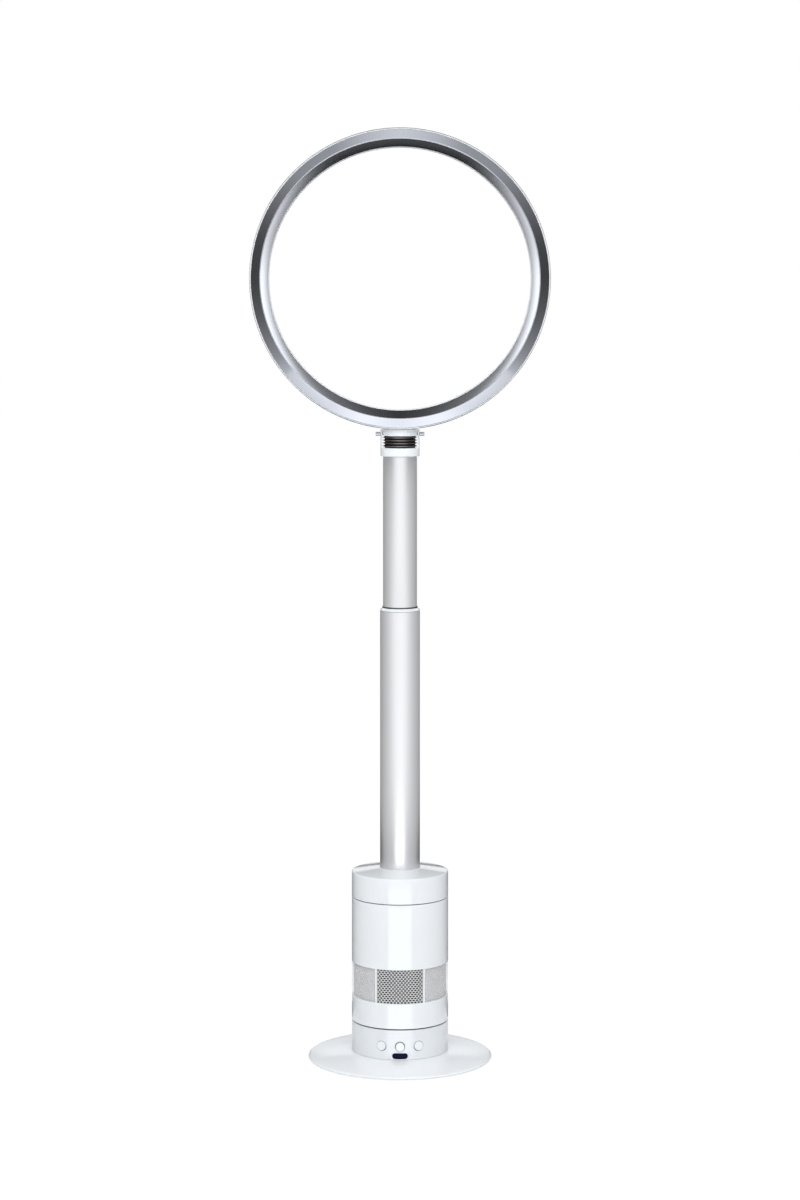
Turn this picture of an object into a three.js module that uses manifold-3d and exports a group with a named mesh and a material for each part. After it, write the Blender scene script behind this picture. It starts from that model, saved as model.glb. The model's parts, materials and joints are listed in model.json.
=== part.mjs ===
// A pedestal fan whose air leaves a thin slot round a large hoop instead of from open blades.
// Millimetres, +Z up. The floor is z = 0, the pole stands on the Z axis and the front faces -Y.
import * as THREE from 'three';
import { mergeVertices } from 'three/addons/utils/BufferGeometryUtils.js';
import Module from 'manifold-3d';

const wasm = await Module();
wasm.setup();

// Fits
const seatGap = 0.3; // between pieces that seat on each other, and round turning pieces
const seamGap = 0.8; // open line between the visible casings
const stopGap = 0.5; // left at the end of a sliding or pressed stroke

// Roundness
const bodyFacets = 32;
const hoopFacets = 40;
const hiddenFacets = 20;
const smallFacets = 12;

// Base
const footHeight = 2;
const footWidth = 10;
const footInset = 4;
const ballastInset = 17;
const ballastThickness = 5.2;
const baseRadius = 139;
const baseRimHeight = 1.5;
const baseEdgeHeight = 4.8;
const baseEdgeRound = 1.5;
const baseTopHeight = 13.6;
const baseCurve = 1.5; // power that bends the top of the base down towards its edge
const baseCoverWall = 2.5;
const baseCoverSeat = 17.5; // inwards from the screws
const screwCount = 3;
const screwRadius = 1.8;
const screwHeadRadius = 4;
const screwHeadHeight = 1.4;

// Control ring and what it holds
const bodyRadius = 73;
const bodyWall = 2.5;
const flangeWidth = 14;
const flangeThickness = 2.5;
const windowSill = 1.5;
const windowWidth = 23.2;
const windowTall = 8.4;
const windowThickness = 2;
const controlSpacing = 3.4; // between the window and the dial
const buttonRadius = 7.4;
const buttonThickness = 3;
const buttonStemRadius = 3;
const buttonTravel = 1.5;
const buttonTurn = 22.5; // degrees from the front
const dialRadius = 6.8;
const dialProud = 4;
const dialDepth = 2.4;
const dialStemRadius = 2.5;
const dialChamfer = 1;
const boardInset = 12.5;
const boardMargin = 5.5;
const boardThickness = 1.6;
const encoderSide = 12;
const encoderDepth = 6;
const glandRise = 12.1;
const glandRadius = 6;
const glandProud = 6;
const glandTipRadius = 4.4;
const glandDimpleRadius = 2.8;
const glandDimpleDepth = 1.5;

// Turning gear
const deckRise = 3.2; // over the controls
const deckThickness = 3;
const gearBay = 4; // free height under and over the gear
const spigotRadius = 14;
const spigotWall = 4;
const glideInset = 4.2;
const glideWidth = 6;
const turntableRise = 0.5;
const turntableThickness = 3;
const hubWall = 3.7;
const hubReach = 3; // below the gear
const clipWidth = 5.7;
const clipThickness = 2;
const gearModule = 1.25;
const gearTeeth = 48;
const pinionTeeth = 12;
const gearThickness = 8;
const toothRise = 1; // outside the pitch circle
const toothDrop = 1.4; // inside the pitch circle
const backlash = 0.4;
const flankAngle = 20; // degrees
const pinionShaftRadius = 3;
const turnMotorRadius = 21;
const turnMotorHeight = 18;

// Fan body
const windowsRise = 38.2;
const windowsHeight = 51;
const windowCount = 6;
const windowBar = 3;
const screenThickness = 0.8;
const screenOverlap = 3;
const ledgeWidth = 8;
const ledgeThickness = 2.5;
const isolatorHeight = 4;
const isolatorWidth = 7;
const ductWall = 2;
const ductFlangeThickness = 2;
const mouthRadius = 56;
const mouthLength = 9;
const throatRadius = 48;
const throatLength = 19;
const plenumRadius = 52;
const plenumStep = 5;
const plenumLength = 18;
const ductTaper = 18;
const ductNeckLength = 17.2;
const driverBoardInset = 6;
const driverBoardMargin = 10;
const driverBoardWidth = 48;

// Impeller and motor
const shaftRadius = 2.5;
const shaftTail = 2; // below the impeller
const impellerHeight = 20;
const impellerNose = 10;
const impellerBack = 22;
const impellerBlades = 9;
const bladeThickness = 1.4;
const bladePitch = 48; // degrees from the plane of rotation
const tipClearance = 1.5;
const motorRadius = 22;
const motorLength = 24;
const motorWall = 1.5;
const motorGap = 3.5; // between the impeller and the motor
const bearingRadius = 6;
const bearingWidth = 3.4;
const bearingBossWall = 2;
const magnetRadius = 12;
const magnetLength = 9;
const airGap = 0.8;
const cupWall = 1.7;
const cupNose = 10;
const vaneCount = 9;
const vaneThickness = 1.5;

// Top of the body and lower pole
const coverHeight = 38.4;
const coverRise = 6;
const coverRound = 1.6;
const socketFlangeThickness = 3;
const socketWall = 3.5;
const poleRadius = 30.2;
const poleWall = 1.5;
const poleLength = 434.9;
const ductSleeveLength = 14;
const ductSleeveWall = 2.2;
const clampScrewRise = 15.2;
const clampScrewRadius = 1.9;
const clampHeadRadius = 3.6;
const clampHeadHeight = 3;

// Sliding pole
const innerPoleReach = 227.4; // seen above the lower pole at full height
const innerPoleWall = 1.5;
const bushWall = 2.4;
const bushLength = 60;
const bushRimHeight = 0.9;
const bushConeHeight = 3;
const bushLip = 0.8;
const wiperHeight = 1.6;
const wiperWidth = 1;
const sliderLength = 40;

// Tilting joint
const yokeOverhang = 3.8; // beyond the sliding pole
const yokeHeight = 12.7;
const yokeWall = 2.9;
const spigotLength = 22;
const earThickness = 2.5;
const earHalfWidth = 7.2;
const earGap = 0.4;
const pinRadius = 2;
const pinHeadRadius = 3;
const pinHeadLength = 7;
const pinHeadChamfer = 0.6;
const bellowsLength = 17.4;
const bellowsInset = 0.1; // from the collar's outside
const bellowsFold = 3.6;
const bellowsWall = 1.9;
const bellowsRibs = 4;
const collarWall = 4.6;
const collarDrop = 2.5; // below the pivot
const collarReach = 8; // up inside the hoop
const gasketWidth = 4;
const gasketThickness = 2;

// Hoop: radii from its own centre, depths along Y with the front at the negative end
const hoopRadius = 227;
const hoopBreadth = 29.4; // from its outside to the lip inside
const hoopHalfDepth = 48;
const hoopWall = 2;
const hoopBow = 2.5; // that its outside falls in by at the front
const shellWidestDepth = -2;
const noseLength = 24;
const lipTurn = 168; // degrees that the rear curls round
const slotWidth = 1.3;
const coandaStart = 4; // in front of where the rear curl starts
const coandaRise = 1.6; // from the lip to the surface that the air follows
const innerShellTail = 5; // behind the lip's end
const trimStep = 1.7; // from the shell's front edge in to the trim
const trimWidth = 13.9;
const trimSlope = 8;
const trimThickness = 1.8;
const trimLip = 0.4; // that the trim stands back from the inner face
const ribCount = 6;
const ribThickness = 2;
const ribFront = 14; // in front of the widest place
const ribLength = 24;

const finishes = {
  whitePlastic: { color: 0xf2f3f6, roughness: 0.22, metalness: 0 },
  silver: { color: 0xc9cad2, roughness: 0.28, metalness: 1 },
  steel: { color: 0x9a9ca0, roughness: 0.4, metalness: 1 },
  iron: { color: 0x45474a, roughness: 0.6, metalness: 0.9 },
  brass: { color: 0xb08d4c, roughness: 0.35, metalness: 1 },
  blackRubber: { color: 0x161617, roughness: 0.6, metalness: 0 },
  blackPlastic: { color: 0x1d1e20, roughness: 0.4, metalness: 0 },
  greyPlastic: { color: 0x8f9296, roughness: 0.45, metalness: 0 },
  smokedWindow: { color: 0x08090c, roughness: 0.08, metalness: 0 },
  circuitBoard: { color: 0x1d5b38, roughness: 0.55, metalness: 0 },
};

function radians(degrees) {
  return degrees * Math.PI / 180;
}

function piece(name, geometry, finish) {
  const mesh = new THREE.Mesh(geometry, new THREE.MeshStandardMaterial(finishes[finish]));
  mesh.name = name;
  return mesh;
}

function groupOf(...members) {
  const group = new THREE.Group();
  group.add(...members);
  return group;
}

function solidOf(geometry) {
  const bare = geometry.clone();
  bare.deleteAttribute('normal');
  bare.deleteAttribute('uv');
  const merged = mergeVertices(bare);
  const vertProperties = Float32Array.from(merged.attributes.position.array);
  const triVerts = Uint32Array.from(merged.index.array);
  return new wasm.Manifold(new wasm.Mesh({ numProp: 3, vertProperties, triVerts }));
}

function geometryOf(solid) {
  const mesh = solid.getMesh();
  const geometry = new THREE.BufferGeometry();
  geometry.setAttribute('position', new THREE.BufferAttribute(mesh.vertProperties, 3));
  geometry.setIndex(new THREE.BufferAttribute(mesh.triVerts, 1));
  geometry.computeVertexNormals();
  return geometry;
}

function joined(...geometries) {
  return geometryOf(geometries.map(solidOf).reduce((whole, next) => whole.add(next)));
}

function cutBy(geometry, ...tools) {
  return geometryOf(tools.map(solidOf).reduce((whole, tool) => whole.subtract(tool), solidOf(geometry)));
}

function common(first, second) {
  return geometryOf(solidOf(first).intersect(solidOf(second)));
}

// A solid turned about the Y axis from [radius, height] points. A profile that starts on the axis
// also ends there, and any other closes on itself.
function turnedAboutY(profile, facets) {
  const points = profile.map(([radius, height]) => new THREE.Vector2(radius, height));
  if (THREE.ShapeUtils.area(points) < 0) {
    points.reverse();
  }
  if (points[0].x > 0) {
    points.push(points[0].clone());
  }
  return new THREE.LatheGeometry(points, facets);
}

function turned(profile, facets = bodyFacets) {
  return turnedAboutY(profile, facets).rotateX(Math.PI / 2);
}

function tube(innerRadius, outerRadius, bottom, top, facets = bodyFacets) {
  const profile = [[innerRadius, bottom], [outerRadius, bottom], [outerRadius, top], [innerRadius, top]];
  return turned(profile, facets);
}

function disc(radius, bottom, top, facets = smallFacets) {
  return turned([[0, bottom], [radius, bottom], [radius, top], [0, top]], facets);
}

// A plain round bar along Y, for cutting holes and for stems that point to the front.
function frontBar(radius, fromY, toY, facets = smallFacets) {
  const bar = new THREE.CylinderGeometry(radius, radius, Math.abs(toY - fromY), facets);
  return bar.translate(0, (fromY + toY) / 2, 0);
}

function sideBar(radius, fromX, toX, facets = smallFacets) {
  return frontBar(radius, fromX, toX, facets).rotateZ(-Math.PI / 2);
}

function uprightBar(radius, bottom, top, facets = smallFacets) {
  return frontBar(radius, bottom, top, facets).rotateX(Math.PI / 2);
}

function block(low, high) {
  const size = high.map((value, index) => value - low[index]);
  const middle = high.map((value, index) => (value + low[index]) / 2);
  return new THREE.BoxGeometry(...size).translate(...middle);
}

// The same open line of [radius, height] points moved sideways by a distance, to its left.
function offsetLine(points, distance) {
  return points.map(([radius, height], index) => {
    const before = points[Math.max(index - 1, 0)];
    const after = points[Math.min(index + 1, points.length - 1)];
    const along = new THREE.Vector2(after[0] - before[0], after[1] - before[1]).normalize();
    return [radius - along.y * distance, height + along.x * distance];
  });
}

function wallBetween(first, second) {
  return [...first, ...second.slice().reverse()];
}

function lineThrough(from, to, steps, pointAt) {
  return Array.from({ length: steps + 1 }, (_, step) => pointAt(from + (to - from) * step / steps));
}

// Radii that follow from the ones above
const casingInnerRadius = bodyRadius - bodyWall;
const innerFitRadius = casingInnerRadius - seatGap;
const ballastRadius = baseRadius - ballastInset;
const footOuterRadius = ballastRadius - footInset;
const footInnerRadius = footOuterRadius - footWidth;
const screwCircle = casingInnerRadius - flangeWidth / 2;
const baseCoverBore = screwCircle - baseCoverSeat;
const boardDistance = casingInnerRadius - boardInset;
const spigotBore = spigotRadius - spigotWall;
const glideOuterRadius = innerFitRadius - glideInset;
const clipRadius = spigotRadius + seatGap + clipWidth;
const shaftBore = shaftRadius + seatGap;
const socketBore = poleRadius + seatGap;
const neckBore = poleRadius - ductSleeveWall - seatGap - ductWall;
const bushOuterRadius = poleRadius - poleWall - seatGap;
const bushBore = bushOuterRadius - bushWall;
const innerPoleRadius = bushBore - seatGap;
const yokeRadius = innerPoleRadius + yokeOverhang;
const earInnerX = yokeRadius - earThickness;
const collarRadius = earInnerX - earGap;
const collarBore = collarRadius - collarWall;
const bellowsRibRadius = collarRadius - bellowsInset;
const bellowsGrooveRadius = bellowsRibRadius - bellowsFold;
const bellowsBore = bellowsGrooveRadius - bellowsWall;
const shellFrontRadius = hoopRadius - hoopBow;
const lipRadius = hoopRadius - hoopBreadth;
const trimOuterRadius = shellFrontRadius - trimStep;
const trimInnerRadius = trimOuterRadius - trimWidth;
const innerFrontRadius = trimInnerRadius - trimLip;

// Heights that follow from the ones above, from the floor up
const ballastBottom = footHeight + seatGap;
const ballastTop = ballastBottom + ballastThickness;
const ringBottom = baseTopHeight + seatGap;
const flangeTop = ringBottom + flangeThickness;
const windowHeight = ringBottom + windowSill + windowTall / 2;
const controlHeight = windowHeight + windowTall / 2 + controlSpacing + dialRadius;
const glandHeight = ringBottom + glandRise;
const deckHeight = controlHeight + dialRadius + deckRise;
const deckTop = deckHeight + deckThickness;
const controlRingTop = deckTop + gearThickness + gearBay;
const casingBottom = controlRingTop + seamGap;
const turntableHeight = casingBottom + turntableRise;
const turntableTop = turntableHeight + turntableThickness;
const spigotTop = turntableTop + seatGap * 2 + clipThickness + stopGap;
const windowsBottom = casingBottom + windowsRise;
const windowsTop = windowsBottom + windowsHeight;
const screenTop = windowsTop + screenOverlap;
const ledgeBottom = screenTop + seatGap;
const ledgeTop = ledgeBottom + ledgeThickness;
const isolatorTop = ledgeTop + seatGap + isolatorHeight;
const ductBottom = isolatorTop + seatGap;
const throatStart = ductBottom + mouthLength;
const throatEnd = throatStart + throatLength;
const plenumStart = throatEnd + plenumStep;
const plenumEnd = plenumStart + plenumLength;
const neckStart = plenumEnd + ductTaper;
const ductTop = neckStart + ductNeckLength;
const casingTop = ductTop + seatGap * 4;
const impellerBottom = throatStart;
const impellerTop = impellerBottom + impellerHeight;
const motorBottom = impellerTop + motorGap;
const motorTop = motorBottom + motorLength;
const bearingHeight = motorBottom + motorWall + seatGap;
const coverShoulder = casingTop + seamGap + coverHeight;
const coverPeak = coverShoulder + coverRise;
const poleBottom = casingTop + seatGap;
const poleTop = poleBottom + poleLength;
const bushBottom = poleTop - bushLength;
const bushRimBottom = poleTop + seatGap;
const bushTop = bushRimBottom + bushRimHeight + bushConeHeight;
const wiperTop = bushTop + seatGap + wiperHeight;
const innerPoleTop = wiperTop + innerPoleReach;
const yokeBottom = innerPoleTop + seatGap;
const yokeTop = yokeBottom + yokeHeight;
const bellowsBottom = yokeTop + seatGap;
const bellowsTop = bellowsBottom + bellowsLength;
const collarBottom = bellowsTop + seatGap;
const pivotHeight = collarBottom + collarDrop;
const hoopBottom = pivotHeight + earHalfWidth - seatGap;
const hoopHeight = hoopBottom + hoopRadius;
const collarTop = hoopBottom + collarReach;

// Depths in the hoop that follow from the ones above
const shellFrontDepth = -hoopHalfDepth + trimSlope + trimThickness + seatGap * 2;
const noseStartDepth = hoopHalfDepth - noseLength;
const coandaDepth = noseStartDepth - coandaStart;
const innerFrontDepth = -hoopHalfDepth + trimThickness + hoopWall * trimSlope / trimWidth + seatGap;
const ribFrontDepth = shellWidestDepth - ribFront;
const ribRearDepth = ribFrontDepth + ribLength;

// Height of the base's visible top at a radius: level under the control ring, then falling as a
// power of the way out to the edge.
function baseTopAt(radius) {
  const out = Math.max(radius - bodyRadius, 0) / (baseRadius - bodyRadius);
  return baseTopHeight - (baseTopHeight - baseEdgeHeight) * out ** baseCurve;
}

function makeFoot() {
  return piece('foot_ring', tube(footInnerRadius, footOuterRadius, 0, footHeight), 'blackRubber');
}

function screwPlaces() {
  return Array.from({ length: screwCount }, (_, index) => {
    const angle = 2 * Math.PI * (index + 0.25) / screwCount;
    return [screwCircle * Math.cos(angle), screwCircle * Math.sin(angle)];
  });
}

function screwHoles() {
  return screwPlaces().map(([x, y]) => uprightBar(screwRadius + seatGap, -1, flangeTop + 1).translate(x, y, 0));
}

function makeBallast() {
  const top = lineThrough(ballastRadius, baseCoverBore, 5, (radius) => {
    return [radius, Math.min(ballastTop, baseTopAt(radius) - baseCoverWall - seatGap)];
  });
  const inner = baseCoverBore / 2;
  const profile = [[inner, ballastBottom], [ballastRadius, ballastBottom], ...top, [inner, ballastTop]];
  return piece('base_plate', cutBy(turned(profile), ...screwHoles()), 'iron');
}

function makeBaseCover() {
  const seat = lineThrough(bodyRadius, baseRadius - baseEdgeRound, 5, (radius) => [radius, baseTopAt(radius)]);
  const edge = lineThrough(0, 90, 2, (angle) => {
    const across = baseRadius - baseEdgeRound + baseEdgeRound * Math.sin(radians(angle));
    const up = baseEdgeHeight - baseEdgeRound + baseEdgeRound * Math.cos(radians(angle));
    return [across, up];
  });
  const under = seat.map(([radius, height]) => [radius, height - baseCoverWall]);
  const rim = baseRadius - baseEdgeRound - seatGap;
  const outside = [[baseCoverBore, baseTopHeight], ...seat.slice(0, -1), ...edge, [baseRadius, baseRimHeight]];
  const inside = [[rim, baseRimHeight], ...under.slice(0, -1).reverse()];
  const bore = [[baseCoverBore, baseTopHeight - baseCoverWall]];
  const shell = turned([...outside, ...inside, ...bore]);
  return piece('base_cover', cutBy(shell, ...screwHoles()), 'whitePlastic');
}

function makeScrews() {
  const headTop = ballastBottom - seatGap;
  const shankTop = flangeTop - stopGap;
  return screwPlaces().map(([x, y], index) => {
    const bottom = headTop - screwHeadHeight;
    const head = [[0, bottom], [screwHeadRadius, bottom], [screwHeadRadius, headTop], [screwRadius, headTop]];
    const geometry = turned([...head, [screwRadius, shankTop], [0, shankTop]], smallFacets);
    const screw = piece(`base_screw_${index + 1}`, geometry, 'steel');
    screw.position.set(x, y, 0);
    return screw;
  });
}

// A round-ended slot shape, wider than tall, as a bar along Y.
function pillBar(width, tall, fromY, toY, height) {
  const radius = tall / 2;
  const reach = width / 2 - radius;
  const shape = new THREE.Shape();
  shape.absarc(reach, 0, radius, -Math.PI / 2, Math.PI / 2);
  shape.absarc(-reach, 0, radius, Math.PI / 2, Math.PI * 3 / 2);
  const bar = new THREE.ExtrudeGeometry(shape, { depth: toY - fromY, bevelEnabled: false, curveSegments: 8 });
  return bar.rotateX(Math.PI / 2).translate(0, toY, height);
}

function controlHole(radius, turn) {
  const inward = casingInnerRadius - bodyWall;
  const hole = frontBar(radius + seatGap, -bodyRadius - bodyWall, -inward).translate(0, 0, controlHeight);
  return hole.rotateZ(radians(turn));
}

function makeControlRing() {
  const inside = casingInnerRadius;
  const flange = inside - flangeWidth;
  const shell = turned([
    [flange, ringBottom],
    [bodyRadius, ringBottom],
    [bodyRadius, controlRingTop],
    [inside, controlRingTop],
    [inside, flangeTop],
    [flange, flangeTop],
  ]);
  const slack = seatGap * 2;
  const near = inside - bodyWall;
  const far = bodyRadius + bodyWall;
  const pill = pillBar(windowWidth + slack, windowTall + slack, -far, -near, windowHeight);
  const gland = frontBar(glandRadius + seatGap, near, far);
  const holes = [
    controlHole(buttonRadius, buttonTurn),
    controlHole(buttonRadius, -buttonTurn),
    controlHole(dialRadius + seatGap, 0),
    pill,
    gland.translate(0, 0, glandHeight),
    ...screwHoles(),
  ];
  return piece('control_ring', cutBy(shell, ...holes), 'whitePlastic');
}

// A push button: its cap is flush with the ring, and its stem stops short of the board.
function makeButton(name, turn) {
  const slope = radians(buttonTurn);
  const boardReach = boardDistance + seatGap + stopGap + buttonStemRadius * Math.sin(slope);
  const stemEnd = boardReach / Math.cos(slope) + buttonTravel;
  const capBack = bodyRadius - buttonThickness;
  const cap = frontBar(buttonRadius, -bodyRadius - 1, -capBack).translate(0, 0, controlHeight);
  const rounded = common(cap, tube(1, bodyRadius, 0, controlRingTop));
  const stem = frontBar(buttonStemRadius, -capBack - 1, -stemEnd).translate(0, 0, controlHeight);
  const button = piece(name, joined(rounded, stem), 'whitePlastic');
  button.rotation.z = radians(turn);
  return button;
}

function makeDial() {
  const front = bodyRadius + dialProud;
  const back = bodyRadius - dialDepth;
  const stemEnd = boardDistance + seatGap * 2;
  const geometry = turnedAboutY([
    [0, -front],
    [dialRadius - dialChamfer, -front],
    [dialRadius, -front + dialChamfer],
    [dialRadius, -back],
    [dialStemRadius, -back],
    [dialStemRadius, -stemEnd],
    [0, -stemEnd],
  ], smallFacets);
  const dial = piece('speed_dial', geometry, 'whitePlastic');
  dial.position.z = controlHeight;
  return dial;
}

function makeWindow() {
  const face = bodyRadius - seatGap / 2;
  const pill = pillBar(windowWidth, windowTall, -bodyRadius - 1, -casingInnerRadius + bodyWall, windowHeight);
  const skin = tube(face - windowThickness, face, 0, controlRingTop, bodyFacets);
  return piece('display_window', common(pill, skin), 'smokedWindow');
}

function makeControlBoard() {
  const halfWidth = Math.sqrt(innerFitRadius ** 2 - boardDistance ** 2) - boardMargin;
  const low = [-halfWidth, -boardDistance, flangeTop + seatGap];
  const high = [halfWidth, -boardDistance + boardThickness, deckHeight - seatGap * 3];
  return piece('control_board', block(low, high), 'circuitBoard');
}

function makeEncoder() {
  const half = encoderSide / 2;
  const back = boardDistance + seatGap;
  const body = block([-half, -back - encoderDepth, controlHeight - half], [half, -back, controlHeight + half]);
  const bore = frontBar(dialStemRadius + seatGap, -back - encoderDepth - 1, -back + 1);
  return piece('speed_encoder', cutBy(body, bore.translate(0, 0, controlHeight)), 'blackPlastic');
}

function makeGland() {
  const tip = bodyRadius + glandProud;
  const geometry = turnedAboutY([
    [0, casingInnerRadius],
    [glandRadius, casingInnerRadius],
    [glandRadius, bodyRadius],
    [glandTipRadius, tip],
    [glandDimpleRadius, tip],
    [glandDimpleRadius, tip - glandDimpleDepth],
    [0, tip - glandDimpleDepth],
  ], smallFacets);
  const gland = piece('cord_gland', geometry, 'blackRubber');
  gland.position.z = glandHeight;
  return gland;
}

// Turning gear: a spigot on the fixed deck carries the turntable, which a small motor drives.
const pitchRadius = gearModule * gearTeeth / 2;
const pinionPitchRadius = gearModule * pinionTeeth / 2;
const pinionDistance = pitchRadius + pinionPitchRadius;

function makeDeck() {
  const profile = [
    [spigotBore, deckHeight],
    [innerFitRadius, deckHeight],
    [innerFitRadius, deckTop],
    [spigotRadius, deckTop],
    [spigotRadius, spigotTop],
    [spigotBore, spigotTop],
  ];
  const shaftHole = uprightBar(pinionShaftRadius + seatGap, deckHeight - 1, deckTop + 1);
  const deck = cutBy(turned(profile), shaftHole.translate(0, pinionDistance, 0));
  return piece('bearing_plate', deck, 'greyPlastic');
}

function makeGlideRing() {
  const glideTop = turntableHeight - seatGap;
  const glide = tube(glideOuterRadius - glideWidth, glideOuterRadius, deckTop + seatGap, glideTop);
  return piece('glide_ring', glide, 'blackPlastic');
}

function makeRetainingRing() {
  const bottom = turntableTop + seatGap;
  const ring = tube(spigotRadius + seatGap, clipRadius, bottom, bottom + clipThickness, hiddenFacets);
  return piece('retaining_ring', ring, 'steel');
}

function makeTurnMotor() {
  const top = deckHeight - seatGap;
  const motor = piece('oscillation_motor', disc(turnMotorRadius, top - turnMotorHeight, top, hiddenFacets), 'steel');
  motor.position.y = pinionDistance;
  return motor;
}

// Outline of a straight-flanked gear, one tooth centred on the +X axis turned by a phase.
function gearShape(teeth, phase) {
  const pitch = gearModule * teeth / 2;
  const halfTooth = Math.PI * gearModule / 4 - backlash / 2;
  const slope = Math.tan(radians(flankAngle));
  const rootRadius = pitch - toothDrop;
  const tipRadius = pitch + toothRise;
  const rootHalf = (halfTooth + toothDrop * slope) / rootRadius;
  const tipHalf = (halfTooth - toothRise * slope) / tipRadius;
  const points = Array.from({ length: teeth }, (_, tooth) => {
    const middle = phase + 2 * Math.PI * tooth / teeth;
    const corners = [[rootRadius, -rootHalf], [tipRadius, -tipHalf], [tipRadius, tipHalf], [rootRadius, rootHalf]];
    return corners.map(([radius, turn]) => {
      return new THREE.Vector2(radius * Math.cos(middle + turn), radius * Math.sin(middle + turn));
    });
  });
  return new THREE.Shape(points.flat());
}

function makeGear() {
  const shape = gearShape(gearTeeth, Math.PI / 2);
  const bore = new THREE.Path();
  bore.absarc(0, 0, spigotRadius + seatGap * 2 + hubWall, 0, Math.PI * 2, true);
  shape.holes.push(bore);
  const options = { depth: gearThickness, bevelEnabled: false, curveSegments: bodyFacets / 2 };
  const gear = piece('turntable_gear', new THREE.ExtrudeGeometry(shape, options), 'greyPlastic');
  gear.position.z = turntableHeight - seatGap - gearThickness;
  return gear;
}

function makePinion() {
  const halfStep = Math.PI / pinionTeeth;
  const shape = gearShape(pinionTeeth, -Math.PI / 2 + halfStep);
  const bottom = turntableHeight - stopGap - gearThickness;
  const teeth = new THREE.ExtrudeGeometry(shape, { depth: gearThickness - stopGap, bevelEnabled: false });
  const shaft = uprightBar(pinionShaftRadius, deckHeight, bottom + 1);
  const pinion = piece('oscillation_pinion', joined(teeth.translate(0, 0, bottom), shaft), 'brass');
  pinion.position.y = pinionDistance;
  return pinion;
}

function makeTurntable() {
  const bore = spigotRadius + seatGap;
  const hub = bore + hubWall;
  const hubBottom = turntableHeight - gearThickness - hubReach;
  const profile = [
    [bore, hubBottom],
    [hub, hubBottom],
    [hub, turntableHeight],
    [innerFitRadius, turntableHeight],
    [innerFitRadius, turntableTop],
    [bore, turntableTop],
  ];
  return piece('turntable', turned(profile), 'greyPlastic');
}

// Ring sector that cuts one intake window through the casing.
function windowCutter(index) {
  const share = 2 * Math.PI / windowCount;
  const half = share / 2 - windowBar / 2 / bodyRadius;
  const middle = -Math.PI / 2 + index * share;
  const shape = new THREE.Shape();
  shape.absarc(0, 0, bodyRadius + bodyWall, middle - half, middle + half, false);
  shape.absarc(0, 0, casingInnerRadius - bodyWall, middle + half, middle - half, true);
  const depth = windowsTop - windowsBottom;
  const cutter = new THREE.ExtrudeGeometry(shape, { depth, bevelEnabled: false, curveSegments: 8 });
  return cutter.translate(0, 0, windowsBottom);
}

function makeCasing() {
  const inside = casingInnerRadius;
  const ledge = inside - ledgeWidth;
  const shell = turned([
    [bodyRadius, casingBottom],
    [bodyRadius, casingTop],
    [inside, casingTop],
    [inside, ledgeTop],
    [ledge, ledgeTop],
    [ledge, ledgeBottom],
    [inside, ledgeBottom],
    [inside, casingBottom],
  ]);
  const cutters = Array.from({ length: windowCount }, (_, index) => windowCutter(index));
  return piece('main_casing', cutBy(shell, ...cutters), 'whitePlastic');
}

function makeScreen() {
  const bottom = windowsBottom - screenOverlap;
  const sleeve = tube(innerFitRadius - screenThickness, innerFitRadius, bottom, screenTop);
  return piece('intake_screen', sleeve, 'whitePlastic');
}

function makeDriverBoard() {
  const bottom = turntableTop + seatGap;
  const low = [clipRadius + driverBoardInset, -driverBoardWidth / 2, bottom];
  const high = [innerFitRadius - driverBoardMargin, driverBoardWidth / 2, bottom + boardThickness];
  return piece('driver_board', block(low, high), 'circuitBoard');
}

function makeIsolator() {
  const outer = casingInnerRadius - seatGap * 3;
  const ring = tube(outer - isolatorWidth, outer, ledgeTop + seatGap, isolatorTop);
  return piece('isolation_ring', ring, 'blackRubber');
}

// Air duct round the impeller: a flared mouth, a straight throat, a wider plenum and a neck.
function makeDuct() {
  const mouth = lineThrough(0, 90, 3, (angle) => {
    const inward = (mouthRadius - throatRadius) * Math.sin(radians(angle));
    return [mouthRadius - inward, throatStart - mouthLength * Math.cos(radians(angle))];
  });
  const inner = [
    ...mouth,
    [throatRadius, throatEnd],
    [plenumRadius, plenumStart],
    [plenumRadius, plenumEnd],
    [neckBore, neckStart],
    [neckBore, ductTop],
  ];
  const shell = turned(wallBetween(inner, offsetLine(inner, -ductWall)), hiddenFacets);
  const flangeTop = ductBottom + ductFlangeThickness;
  const flange = tube(mouthRadius, innerFitRadius - seatGap, ductBottom, flangeTop, hiddenFacets);
  return piece('impeller_housing', joined(shell, flange), 'greyPlastic');
}

// One flat blade from the hub out, leaned over from upright and then turned to its place.
function blade(index, count, inner, outer, height, thickness, lean) {
  const plate = block([inner, -thickness / 2, -height], [outer, thickness / 2, height]);
  return plate.rotateX(lean).rotateZ(2 * Math.PI * index / count);
}

function makeImpeller() {
  const tip = throatRadius - tipClearance;
  const envelope = tube(shaftBore, tip, impellerBottom, impellerTop, hiddenFacets);
  const hub = turned([
    [shaftBore, impellerBottom],
    [impellerNose, impellerBottom],
    [impellerBack, impellerTop],
    [shaftBore, impellerTop],
  ], hiddenFacets);
  const middle = (impellerBottom + impellerTop) / 2;
  const lean = radians(90 - bladePitch);
  const blades = Array.from({ length: impellerBlades }, (_, index) => {
    const plate = blade(index, impellerBlades, impellerNose, tip + 1, impellerHeight, bladeThickness, lean);
    return plate.translate(0, 0, middle);
  });
  const trimmed = common(joined(...blades, hub), envelope);
  return piece('impeller', trimmed, 'greyPlastic');
}

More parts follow.
